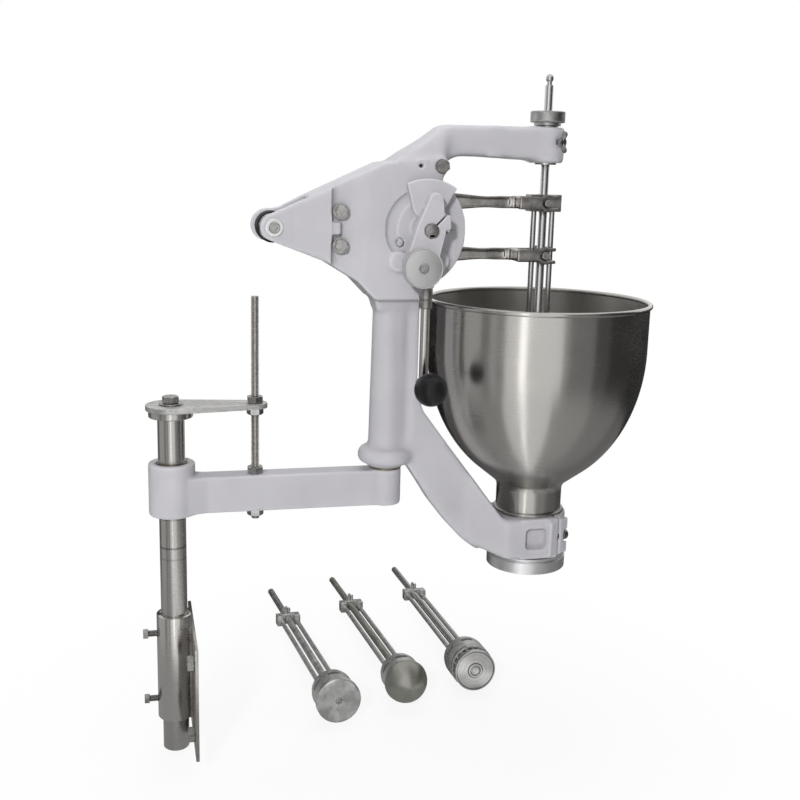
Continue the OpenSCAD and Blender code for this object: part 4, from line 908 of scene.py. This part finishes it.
# %% Bolts and washers of the column and the bracket
LIFT_TOP = 342.2
WASHER_T = 2
lift_washer = place(washer("lift_washer", 13.5, 5, WASHER_T), column_axis + Vector((0, 0, LIFT_TOP)) * MM)
lift_head = place(hex_block("lift_head", NUT_AF, NUT_H),
                  column_axis + Vector((0, 0, LIFT_TOP + WASHER_T)) * MM, UP, 0.2)
stand_for(join("lift_bolt_hex", [lift_washer, lift_head]), "lift_bolt")

PLATE_BACK = -4
weld_nut = hex_block("weld_nut", 17.5, NUT_H, 5.25)
weld_nuts = []
for y in (-55, 55):
    for z in (-45, 45):
        weld_nuts.append(place(copy_of(weld_nut, "weld_nut"), Vector((PLATE_BACK, y, z)) * MM, LEFT))
stand_for(join("weld_nuts_hex", weld_nuts), "weld_nuts")
bpy.data.objects.remove(weld_nut)


def threaded_bar(name, radius, length, pitch, steps=20):
    """A bar from z = 0 up, wound from one tooth of its thread and cut flat at both ends."""
    depth = 0.6 * pitch
    foot = -2 * pitch
    tooth = [Vector((radius - depth, 0, foot)), Vector((radius, 0, foot + pitch / 2)),
             Vector((radius - depth, 0, foot + pitch))]
    piece = drawn_line(name, [p * MM for p in tooth])
    use_modifier(piece, "SCREW", axis="Z", angle=math.tau, screw_offset=pitch * MM, steps=steps,
                 render_steps=steps, iterations=math.ceil(length / pitch) + 4, use_merge_vertices=True,
                 merge_threshold=1e-6)
    bpy.ops.object.mode_set(mode="EDIT")
    bpy.ops.mesh.select_all(action="SELECT")
    bpy.ops.mesh.remove_doubles(threshold=1e-6)
    for height, below in ((0, True), (length, False)):
        bpy.ops.mesh.select_all(action="SELECT")
        bpy.ops.mesh.bisect(plane_co=(0, 0, height * MM), plane_no=UP, use_fill=True,
                            clear_inner=below, clear_outer=not below)
    bpy.ops.mesh.select_all(action="SELECT")
    bpy.ops.mesh.normals_make_consistent(inside=False)
    bpy.ops.object.mode_set(mode="OBJECT")
    return smooth(piece, 25)


height_rod = threaded_bar("height_rod_threaded", ROD_R, 266, 1.5)
stand_for(place(height_rod, Vector((ROD_X, 0, 201)) * MM), "height_rod")
for node, z in (("set_screw_upper", 62), ("set_screw_lower", -22)):
    shank = place(threaded_bar("set_shank", 4, 15.2, 1.25, 16), Vector((-39.3, 0, z)) * MM, LEFT)
    head = place(hex_block("set_head", 10.7, 6), Vector((-54.5, 0, z)) * MM, LEFT)
    stand_for(join(f"{node}_hex", [head, shank]), node)

# %% Bolts and screws of the frame and the crank
pad_bolt = join("pad_bolt", [washer("pad_washer", 9.4, 4, WASHER_T),
                             place(hex_block("pad_head", 13, 6), Vector((0, 0, WASHER_T)) * MM)])
pad_bolts = []
for side in (-1, 1):
    pad_bolts.append(place(copy_of(pad_bolt, "pad_bolt"), on_frame(-66, FACE_Y, PIVOT_H + 19 * side), FRONT,
                           0.3 * side))
stand_for(join("pad_bolts_hex", pad_bolts), "pad_bolts")

COVER_Y = 32
COVER_BOLT_X = 50
COVER_BOLT_Z = 358
cover_parts = [place(washer("cover_washer", 8.2, 4, 1.2),
                     on_frame(COVER_BOLT_X, FACE_Y, COVER_BOLT_Z), FRONT),
               place(hex_block("cover_head", 13.5, 7),
                     on_frame(COVER_BOLT_X, FACE_Y - 1.2, COVER_BOLT_Z), FRONT,
                     0.15)]
for part in (hex_block("cover_nut", 13, 6, 4), plain_rod("cover_stud", 4, 0, 8)):
    cover_parts.append(place(part, on_frame(COVER_BOLT_X, COVER_Y, COVER_BOLT_Z), BACK))
for x, z in ((14, 356), (4, 217)):
    cover_parts.append(place(socket_head("cover_screw", 5.5, 4, 5), on_frame(x, COVER_Y, z), BACK))
stand_for(join("cover_bolts_hex", cover_parts), "cover_bolts", rod_steel)
bpy.data.objects.remove(pad_bolt)

LUG_Y = -37
pivot_parts = [place(socket_head("pivot_head", 6.2, 6, 6), on_frame(NOSE_X, LUG_Y - WASHER_T, PIVOT_H), FRONT,
                     0.2),
               place(hex_block("pivot_nut", NUT_AF, NUT_H, 5), on_frame(NOSE_X, COVER_Y + WASHER_T, PIVOT_H),
                     BACK),
               place(plain_rod("pivot_bar", 5, LUG_Y, 45), on_frame(NOSE_X, 0, PIVOT_H), BACK)]
stand_for(join("lever_pivot_hex", pivot_parts), "lever_pivot", zinc)
ring_places = ((LUG_Y - WASHER_T, WASHER_T), (COVER_Y, WASHER_T), (21.2, 2.8))
rings = [place(washer("pivot_washer", 10, 5, t), on_frame(NOSE_X, y, PIVOT_H), BACK) for y, t in ring_places]
stand_for(join("pivot_washers_round", rings), "pivot_washers", white_washer)
stop = place(socket_head("stop_screw_head", 4.4, 7, 4), on_frame(2, FACE_Y + 3, PIVOT_H - 15), FRONT)
stand_for(stop, "stop_screw", bright_steel)

# %% [markdown]
# ## Return spring
# The spring between the two lugs is black wire, wound round the pivot with its ends along it. A wire
# is drawn as a curve through computed points and given its thickness, then turned into a mesh.

# %% Return spring
SPRING_R = 16.4
WIRE_R = 1.15
SPRING_TURNS = 8
SPRING_LOW = -27.7
SPRING_HIGH = 0.0
SPRING_END = 2 * WIRE_R
POINTS_A_TURN = 40


def wire(name, points, radius):
    curve = bpy.data.curves.new(name, "CURVE")
    curve.dimensions = "3D"
    curve.bevel_depth = radius
    curve.bevel_resolution = 3
    curve.use_fill_caps = True
    line = curve.splines.new("POLY")
    line.points.add(len(points) - 1)
    for point, at in zip(line.points, points):
        point.co = (*at, 1)
    made = bpy.data.objects.new(name, curve)
    bpy.context.scene.collection.objects.link(made)
    only(made)
    bpy.ops.object.convert(target="MESH")
    piece = named(name)
    bpy.ops.object.mode_set(mode="EDIT")
    bpy.ops.mesh.select_all(action="SELECT")
    bpy.ops.mesh.remove_doubles(threshold=1e-6)
    bpy.ops.mesh.normals_make_consistent(inside=False)
    bpy.ops.object.mode_set(mode="OBJECT")
    return smooth(piece)


rise = SPRING_HIGH - SPRING_LOW - 2 * SPRING_END
coil = []
for i in range(SPRING_TURNS * POINTS_A_TURN + 1):
    a = math.pi + math.tau * i / POINTS_A_TURN
    y = SPRING_LOW + SPRING_END + rise * i / (SPRING_TURNS * POINTS_A_TURN)
    coil.append(on_frame(NOSE_X + SPRING_R * math.cos(a), y, PIVOT_H + SPRING_R * math.sin(a)))
leg = Vector((0, SPRING_END * MM, 0))
spring_line = [coil[0] - leg] + coil + [coil[-1] + leg]
stand_for(wire("return_spring_coil", spring_line, WIRE_R * MM), "return_spring")

# %% [markdown]
# ## Crank pieces
# The handle's disc is turned alloy with a fine groove inside its rim. Below it a steel ferrule holds
# the rod, which carries the black ball on a stud. The ball is spun, with a flat where the stud enters.

# %% Crank pieces
DISC_X = SHAFT_X - 11
DISC_Z = PIVOT_H - 41
CRANK_FRONT = -66
CRANK_DISC_R = 22.6
CRANK_DISC_T = 12
disc_section = [(3, 0), (CRANK_DISC_R, 0), (CRANK_DISC_R, CRANK_DISC_T), (21.7, CRANK_DISC_T), (21.5, 11.5),
                (21, 11.5), (20.8, CRANK_DISC_T), (3, CRANK_DISC_T), (3, 0)]
disc = turned("crank_disc_turned", disc_section, 0.25, 96)
stand_for(place(disc, on_frame(DISC_X, CRANK_FRONT, DISC_Z), FRONT), "crank_disc", disc_alloy)

split = math.radians(46)
bolt_axis = Vector((math.sin(split), 0, -math.cos(split)))
along_split = Vector((math.cos(split), 0, math.sin(split)))
bolt_seat = Vector((SHAFT_X, CRANK_MID, PIVOT_H)) + along_split * 16 + bolt_axis * 11.5
clamp_bolt = place(socket_head("crank_clamp_bolt", 5, 5.5, 4.5), on_frame(*bolt_seat), bolt_axis)
disc_screw = socket_head("crank_disc_screw", 5.5, 3, 5, 1.2)
place(disc_screw, on_frame(DISC_X, CRANK_FRONT - CRANK_DISC_T, DISC_Z), FRONT)
stand_for(join("crank_screws_socket", [clamp_bolt, disc_screw]), "crank_screws", zinc)

ferrule_section = [(5.6, -0.5), (6.6, -0.5), (7.8, 0.8), (7.8, 9), (7.1, 9.6), (7.1, 10.6), (7.8, 11.2),
                   (7.8, 22), (6.8, 23.5), (5.6, 23.5), (5.6, -0.5)]
ferrule = place(turned("handle_ferrule", ferrule_section, 0, 48), on_frame(HANDLE_X, CRANK_MID, 199.5))
dress(ferrule, rod_steel)
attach(ferrule, "crank")

BALL_R = 19
flat_angle = math.acos(8 / BALL_R)
ball_steps = 32
ball_section = [(0, BALL_R * math.sin(flat_angle))]
for i in range(ball_steps + 1):
    a = flat_angle - (flat_angle + math.pi / 2) * i / ball_steps
    ball_section.append((BALL_R * math.cos(a), BALL_R * math.sin(a)))
ball = turned("ball_knob_moulded", ball_section, 0, 64)
stand_for(place(ball, on_frame(HANDLE_X, -92, 111), BACK), "ball_knob")

# %% [markdown]
# ## Adjusting collar
# The collar is gripped by hand, so its rim is knurled. The rim is spun with rows of faces, and every
# second point of each row is pressed in, which leaves small diamonds as a knurling wheel does.

# %% Adjusting collar
COLLAR_Z = 408.1
NECK_H = 3.5
GRIP_R = 20.5
GRIP_H = 13
KNURL_TEETH = 120
KNURL_ROWS = 12
KNURL_DEEP = 0.55
row_h = (GRIP_H - 2) / KNURL_ROWS
grip = [(GRIP_R, NECK_H + 1 + row_h * i) for i in range(KNURL_ROWS + 1)]
top_z = NECK_H + GRIP_H
collar_section = ([(9.1, 0), (16, 0), (16, NECK_H), (GRIP_R - 1, NECK_H)] + grip
                  + [(GRIP_R - 1, top_z), (5.6, top_z), (5.6, 12.4), (9.1, 12.4), (9.1, 0)])
collar = turned("adjusting_collar_knurled", collar_section, 0, KNURL_TEETH)
for vertex in collar.data.vertices:
    reach = math.hypot(vertex.co[0], vertex.co[1])
    row = round((vertex.co[2] / MM - NECK_H - 1) / row_h)
    tooth = round(math.atan2(vertex.co[1], vertex.co[0]) / math.tau * KNURL_TEETH)
    if reach > (GRIP_R - 0.1) * MM and 0 < row < KNURL_ROWS and (row + tooth) % 2:
        vertex.co[0] *= 1 - KNURL_DEEP / GRIP_R
        vertex.co[1] *= 1 - KNURL_DEEP / GRIP_R
stand_for(place(smooth(collar, 12), on_frame(THROAT, 0, COLLAR_Z)), "adjusting_collar", collar_steel)

# %% [markdown]
# ## Levers, yoke and edged solids
# The two levers are forgings with a channel along the front, so they take a cast skin with a slight
# waist. Cut and drilled steel keeps crisp shapes and gets a narrow bevel, which catches the light.

# %% Levers and yoke
LEVER_THIN = 0.88
LEVER_ROOT = 0.4
LEVER_SHOULDER = 0.12


def lever_height(x):
    """Height of a lever at a place along it, as a share of its solid's: root, waist and shoulder."""
    root = LEVER_ROOT * (1 - soft_step(x, 70, 122))
    shoulder = LEVER_SHOULDER * math.exp(-((x - 138) / 14) ** 2)
    bar = soft_step(x, 64, 72) * (1 - soft_step(x, 138, 146))
    return 1 + (LEVER_THIN + root + shoulder - 1) * bar


def forged_lever(node, rise):
    skin = skin_of(node, f"{node}_forged")
    use_modifier(skin, "REMESH", mode="VOXEL", voxel_size=0.9 * MM)
    for vertex in skin.data.vertices:
        x = vertex.co[0] / MM - FRAME_X
        middle = (FRAME_Z + PIVOT_H + rise) * MM
        vertex.co[2] = middle + (vertex.co[2] - middle) * lever_height(x)
    use_modifier(skin, "SMOOTH", factor=0.5, iterations=14)
    return stand_for(thinned(skin, 60000), node)


forged_lever("feed_lever", LEVER_RISE)
forged_lever("cutter_lever", -LEVER_RISE)
stand_for(cast(skin_of("upper_yoke", "upper_yoke_forged"), 0.5, 4, 40000), "upper_yoke")
stand_for(cast(skin_of("stud_collar", "stud_collar_forged"), 0.4, 3, 30000), "stud_collar")


def edged(node, width, finish=None):
    """A copy of a solid with narrow bevels on its hard edges."""
    piece = skin_of(node, f"{node}_edged")
    bpy.ops.object.mode_set(mode="EDIT")
    bpy.ops.mesh.select_all(action="SELECT")
    bpy.ops.mesh.dissolve_limited(angle_limit=math.radians(0.5))
    bpy.ops.object.mode_set(mode="OBJECT")
    use_modifier(piece, "BEVEL", width=width * MM, segments=2, limit_method="ANGLE",
                 angle_limit=math.radians(40), use_clamp_overlap=False)
    return stand_for(smooth(piece, 30), node, finish)


for node, width in (("mount_plate", 0.6), ("column_sleeve", 0.8), ("lift_plate", 0.7), ("wing_screw", 0.5),
                    ("clamp_screw", 0.5), ("handle_rod", 0.4), ("shaft_collar", 0.6), ("guide_bush", 0.6)):
    edged(node, width)
edged("main_shaft", 0.6, rod_steel)

# %% [markdown]
# ## Spare plungers
# Three spare plungers lie in front: a flat one, a domed one and a wide one. Each has a cage, with a
# yoke, two rods and a slotted sleeve, and a core, with a rod and a head. The shapes are modelled
# upright round Z in millimetres and then laid down by the same tilt and headings as their solids.

# %% Spare plungers
SPARE_R = 29.5
SPARE_LEN = 322
SPARE_TIP = 142
DISC_T = 8
SLEEVE_H = 34
YOKE_H = 16
YOKE_BORE = 5.3
spare_tilt = math.asin((SPARE_R - YOKE_H / 2) / SPARE_LEN)
spare_places = {"plain": (182.5, 17.5, 3.7), "dome": (281, 51.5, 2.2), "wide": (381.5, 81.5, 0)}
sleeve_radius = {"plain": SPARE_R - 2, "dome": SPARE_R - 3, "wide": SPARE_R}


def spare_frame(kind):
    """Where a spare lies, as a matrix: its own Z runs from the head to the rod's tip."""
    x, y, heading = spare_places[kind]
    at = Vector((x, y, COLUMN_FOOT + SPARE_R * math.cos(spare_tilt))) * MM
    turn_down = Matrix.Rotation(-math.pi / 2 - spare_tilt, 4, "X")
    return Matrix.Translation(at) @ Matrix.Rotation(math.radians(heading), 4, "Z") @ turn_down


def laid(piece, kind):
    piece.matrix_world = spare_frame(kind)
    return apply_all(piece)


head_tones = {"plain": ((0.62, 0.615, 0.605), 0.3), "dome": ((0.37, 0.37, 0.33), 0.38),
              "wide": ((0.64, 0.635, 0.62), 0.22)}
spare_head_steel = {}
for kind, (tone, roughness) in head_tones.items():
    lay = spare_frame(kind)
    axis = lay.to_3x3() @ Vector(UP)
    steel = turned_finish(f"turned_{kind}_head", tone, roughness, lay.translation, axis, 0.8, 1500, 0.2,
                          metal=0.8)
    spare_head_steel[kind] = steel
    if kind == "plain":
        clouds = noise_of(steel, object_place(steel), 75, 2)
        dim(steel, spread(steel, clouds, 0.75, 1.15, 0.38, 0.62))
    if kind == "wide":
        # painted shade: dark rings at the grooves and the hub of the wide head's face
        off_axis = axis_reach(steel, lay.translation, axis)
        for ring_r in (6.3, 10.2, 26.2):
            off_ring = away_from(steel, off_axis, ring_r * MM)
            dim(steel, spread(steel, off_ring, 0.3, 1.0, 0.3 * MM, 1.1 * MM))


def spare_yoke(name):
    """An M-shaped block with two pegs on its upper side, which is -Y here."""
    half = YOKE_H / 2
    top = SPARE_LEN + half
    yoke = rounded_block(name, (-18, -half, SPARE_LEN), (18, half, top), 1)
    for x in (-18, 9):
        cut(yoke, rounded_block("leg", (x, -half, SPARE_LEN - half), (x + 9, half, top - 1), 1), "UNION")
    for x, tall in ((-2.1, 11), (2.3, 8.5)):
        peg = place(plain_rod("peg", 2.2, 0, tall + 2, 0.4, 24), Vector((x, 2 - half, SPARE_LEN + 4)) * MM,
                    FRONT)
        cut(yoke, peg, "UNION")
    return cut(yoke, plain_rod("bore", YOKE_BORE, SPARE_LEN - 20, SPARE_LEN + 20, 0), "DIFFERENCE")


def spare_sleeve(name, radius):
    low = DISC_T + 1
    high = low + SLEEVE_H
    inner = radius - 3
    section = [(inner, low), (radius, low), (radius, high - 6), (radius - 1.2, high - 5),
               (radius - 1.2, high), (YOKE_BORE, high), (YOKE_BORE, high - 7), (inner, high - 7),
               (inner, low)]
    sleeve = turned(name, section, 0.5, 72)
    for i in range(3):
        slot = rounded_block("slot", (-radius - 2, -8.5, high - 19), (radius + 2, 8.5, high - 11.5), 2)
        slot.rotation_euler = (0, 0, math.radians(60 * i + 30))
        cut(sleeve, apply_all(slot), "DIFFERENCE")
    return sleeve


def spare_cage(kind):
    cage = spare_yoke(f"spare_{kind}_cage_turned")
    for side in (-1, 1):
        rod = plain_rod("rod", SIDE_ROD_R, DISC_T + SLEEVE_H - 2, SPARE_LEN + 2, 0.3, 32)
        cut(cage, place(rod, Vector((side * SIDE_ROD_DX, 0, 0)) * MM), "UNION")
    cut(cage, spare_sleeve("sleeve", sleeve_radius[kind]), "UNION")
    return stand_for(laid(smooth(cage, 30), kind), f"spare_{kind}_cage")


head_sections = {
    "plain": [(0, 0.9), (10, 0.7), (20, 0.3), (SPARE_R - 1.6, 0), (SPARE_R, 1.2), (SPARE_R, DISC_T - 0.6),
              (SPARE_R - 0.6, DISC_T)],
    "dome": ([(SPARE_R * math.sin(math.radians(5 * i)),
               DISC_T - SPARE_R * math.cos(math.radians(5 * i))) for i in range(18)]
             + [(SPARE_R - 0.5, DISC_T - 0.8), (SPARE_R - 1.4, DISC_T)]),
    "wide": [(0, -16), (4, -16), (4.6, -14.4), (7, -14.4), (7.6, -15.6), (9.4, -15.6), (10, -14.2),
             (26, -14.2), (26.6, -15), (28.2, -15), (28.5, -14.5), (28.5, -9.4), (27.8, -9), (20.5, -9),
             (20.5, 0), (SPARE_R - 0.8, 0), (SPARE_R, 0.8), (SPARE_R, DISC_T - 0.8), (SPARE_R - 0.8, DISC_T)],
}


def star(name, outer, inner, low, high):
    """An eight-pointed drive recess as a shallow plug: every second corner is drawn in."""
    clear_selection()
    bpy.ops.mesh.primitive_cylinder_add(vertices=16, radius=outer * MM, depth=(high - low) * MM,
                                        location=(0, 0, (high + low) / 2 * MM))
    piece = apply_all(named(name))
    for vertex in piece.data.vertices:
        step = round(math.atan2(vertex.co[1], vertex.co[0]) / math.tau * 16)
        if step % 2:
            vertex.co[0] *= inner / outer
            vertex.co[1] *= inner / outer
    return piece


def spare_core(kind):
    rod_top = SPARE_LEN + SPARE_TIP
    section = head_sections[kind] + [(5, DISC_T), (5, rod_top - 1), (4, rod_top), (0, rod_top)]
    core = turned(f"spare_{kind}_core_turned", section, 0, 96)
    if kind == "plain":
        cut(core, star("recess", 6, 3.2, -1, 4), "DIFFERENCE")
    if kind == "wide":
        for i in range(20):
            tooth = rounded_block("tooth", (19.5, -1.5, -8.8), (27, 1.5, -0.2), 0.3)
            tooth.rotation_euler = (0, 0, math.tau * i / 20)
            cut(core, apply_all(tooth), "UNION")
    return stand_for(laid(smooth(core, 30), kind), f"spare_{kind}_core", spare_head_steel[kind])


for kind in spare_places:
    spare_cage(kind)
    spare_core(kind)

# %% [markdown]
# ## Floor and world
# The photograph is a cut-out on white. The floor and the world show white to the camera and to
# reflections, and the floor keeps a faint shadow near the object, which fades out into the white
# with distance, so that no horizon shows. The world lights the object at a lower, plain level.

# %% Floor and world
def white_share(tree):
    """One for camera, glossy and transmission rays, nought for the rest."""
    path = tree.nodes.new("ShaderNodeLightPath")
    value = path.outputs["Is Camera Ray"]
    for other in ("Is Glossy Ray", "Is Transmission Ray"):
        either = tree.nodes.new("ShaderNodeMath")
        either.operation = "MAXIMUM"
        tree.links.new(value, either.inputs[0])
        tree.links.new(path.outputs[other], either.inputs[1])
        value = either.outputs["Value"]
    return value


FLOOR_WHITE = 0.88
FADE_START = 0.2
FADE_END = 0.6
floor_z = cad_low[2]
clear_selection()
bpy.ops.mesh.primitive_plane_add(size=14, location=(0.2, 1.0, floor_z - 0.0005))
floor = apply_all(named("pale_floor"))
floor_finish = new_finish("pale_floor", (0.85, 0.85, 0.85), 0, 0.9)
tree = floor_finish.node_tree
from_middle = add_node(floor_finish, "ShaderNodeVectorMath", operation="DISTANCE")
from_middle.inputs[1].default_value = (0.25, 0, floor_z)
link(floor_finish, object_place(floor_finish), from_middle.inputs[0])
whiteness = spread(floor_finish, from_middle.outputs["Value"], FLOOR_WHITE, 1.0, FADE_START, FADE_END)
shown = add_node(floor_finish, "ShaderNodeMath", operation="MULTIPLY")
link(floor_finish, white_share(tree), shown.inputs[0])
link(floor_finish, whiteness, shown.inputs[1])
glow = add_node(floor_finish, "ShaderNodeEmission")
mixer = add_node(floor_finish, "ShaderNodeMixShader")
link(floor_finish, shown.outputs["Value"], mixer.inputs["Fac"])
link(floor_finish, shader_of(floor_finish).outputs["BSDF"], mixer.inputs[1])
link(floor_finish, glow.outputs["Emission"], mixer.inputs[2])
link(floor_finish, mixer.outputs["Shader"], tree.nodes["Material Output"].inputs["Surface"])
dress(floor, floor_finish)

AMBIENT = 0.22
world = bpy.data.worlds.new("studio")
bpy.context.scene.world = world
world.use_nodes = True
sky = world.node_tree
background = sky.nodes["Background"]
background.inputs["Color"].default_value = (1, 1, 1, 1)
level = sky.nodes.new("ShaderNodeMapRange")
level.inputs["To Min"].default_value = AMBIENT
level.inputs["To Max"].default_value = 1.0
sky.links.new(white_share(sky), level.inputs["Value"])
sky.links.new(level.outputs["Result"], background.inputs["Strength"])
print("floor at", round(floor_z, 4))

# %% [markdown]
# ## Lamps and reflection cards
# A lamp at the upper left gives the castings their shade, with weaker ones in front, above and
# behind. Steel shows its surroundings more than its own colour, so a round surround of cards in
# several tones stands about the whole machine, with one bright strip beside the camera and grey
# panels on the floor. Only reflections see it. Its dark walls behind the machine are low, so that
# the spares and the lift plate show the white above them.

# %% Lamps and reflection cards
LAMP_AIM = Vector((0.25, 0, 0.3))


def lamp(name, at, size, power):
    data = bpy.data.lights.new(name, "AREA")
    data.shape = "RECTANGLE"
    data.size, data.size_y = size
    data.energy = power
    made = bpy.data.objects.new(name, data)
    bpy.context.scene.collection.objects.link(made)
    made.location = at
    made.rotation_euler = (LAMP_AIM - Vector(at)).to_track_quat("-Z", "Y").to_euler()
    made.visible_glossy = False
    return made


lamp("key_softbox", (-0.9, -2.2, 1.4), (0.25, 0.25), 47)
lamp("front_softbox", (0.4, -2.4, 0.9), (1.6, 1.2), 2)
lamp("top_softbox", (0.3, 0.2, 2.4), (1.8, 1.8), 28)
lamp("back_softbox", (1.1, 2.2, 1.2), (1.4, 1.4), 16)


def card_finish(name, tone):
    finish = new_finish(name, (0, 0, 0), 0, 1)
    glow = add_node(finish, "ShaderNodeEmission", {"Strength": tone})
    surface = finish.node_tree.nodes["Material Output"].inputs["Surface"]
    link(finish, glow.outputs["Emission"], surface)
    finish.cycles.emission_sampling = "NONE"
    return finish


def curved_card(name, section, start, end, tone):
    """A section spun round the plunger's axis, between two headings beside the camera, in degrees."""
    made = drawn_line(name, [Vector((r, 0, z)) for r, z in section])
    bpy.ops.object.mode_set(mode="EDIT")
    bpy.ops.mesh.select_all(action="SELECT")
    steps = math.ceil((end - start) / 5)
    bpy.ops.mesh.spin(steps=steps, angle=math.radians(start - end), center=(0, 0, 0), axis=UP)
    bpy.ops.object.mode_set(mode="OBJECT")
    to_camera = camera_place - plunger_axis
    heading = math.atan2(to_camera[1], to_camera[0]) + math.radians(start)
    middle = Matrix.Translation((plunger_axis[0], plunger_axis[1], 0))
    made.matrix_world = middle @ Matrix.Rotation(heading, 4, "Z")
    apply_all(made)
    dress(made, card_finish(name, tone))
    made.visible_camera = False
    made.visible_diffuse = False
    made.visible_shadow = False
    return made


SURROUND_R = 0.95
SURROUND_TOP = 1.6
BACK_TOP = 0.52
BACK_FROM = 100
PANEL_IN = 0.03
panel_z = floor_z - 0.0003
wall_tones = ((-161, -118, 0.008), (-118, -84, 0.16), (-84, -54, 0.5), (-54, -44.5, 0.26), (-44.5, -38, 0.5),
              (-38, -29, 0.34), (-29, -15, 0.95), (-15, -8.5, 2.4), (-8.5, 26, 1.0), (26, 32, 0.4),
              (32, 58, 0.24), (58, 75, 0.1), (75, 110, 0.05), (110, 161, 0.035), (161, 199, 0.5))
panel_tones = ((-161, -118, 0.05), (-118, -33, 0.36), (-33, -13.5, 0.85), (-13.5, -7.5, 1.8), (-7.5, 20, 0.9),
               (20, 66, 0.42), (66, 110, 0.3), (110, 199, 0.2))
for i, (start, end, tone) in enumerate(wall_tones):
    top = BACK_TOP if abs(start + end) / 2 > BACK_FROM else SURROUND_TOP
    curved_card(f"surround_wall_{i}", [(SURROUND_R, floor_z), (SURROUND_R, top)], start, end, tone)
for i, (start, end, tone) in enumerate(panel_tones):
    curved_card(f"floor_panel_{i}", [(PANEL_IN, panel_z), (SURROUND_R, panel_z)], start, end, tone)
scene = bpy.context.scene
scene.view_settings.view_transform = "Standard"
print("stage set with", len(bpy.data.lights), "lamps and", len(wall_tones) + len(panel_tones), "cards")
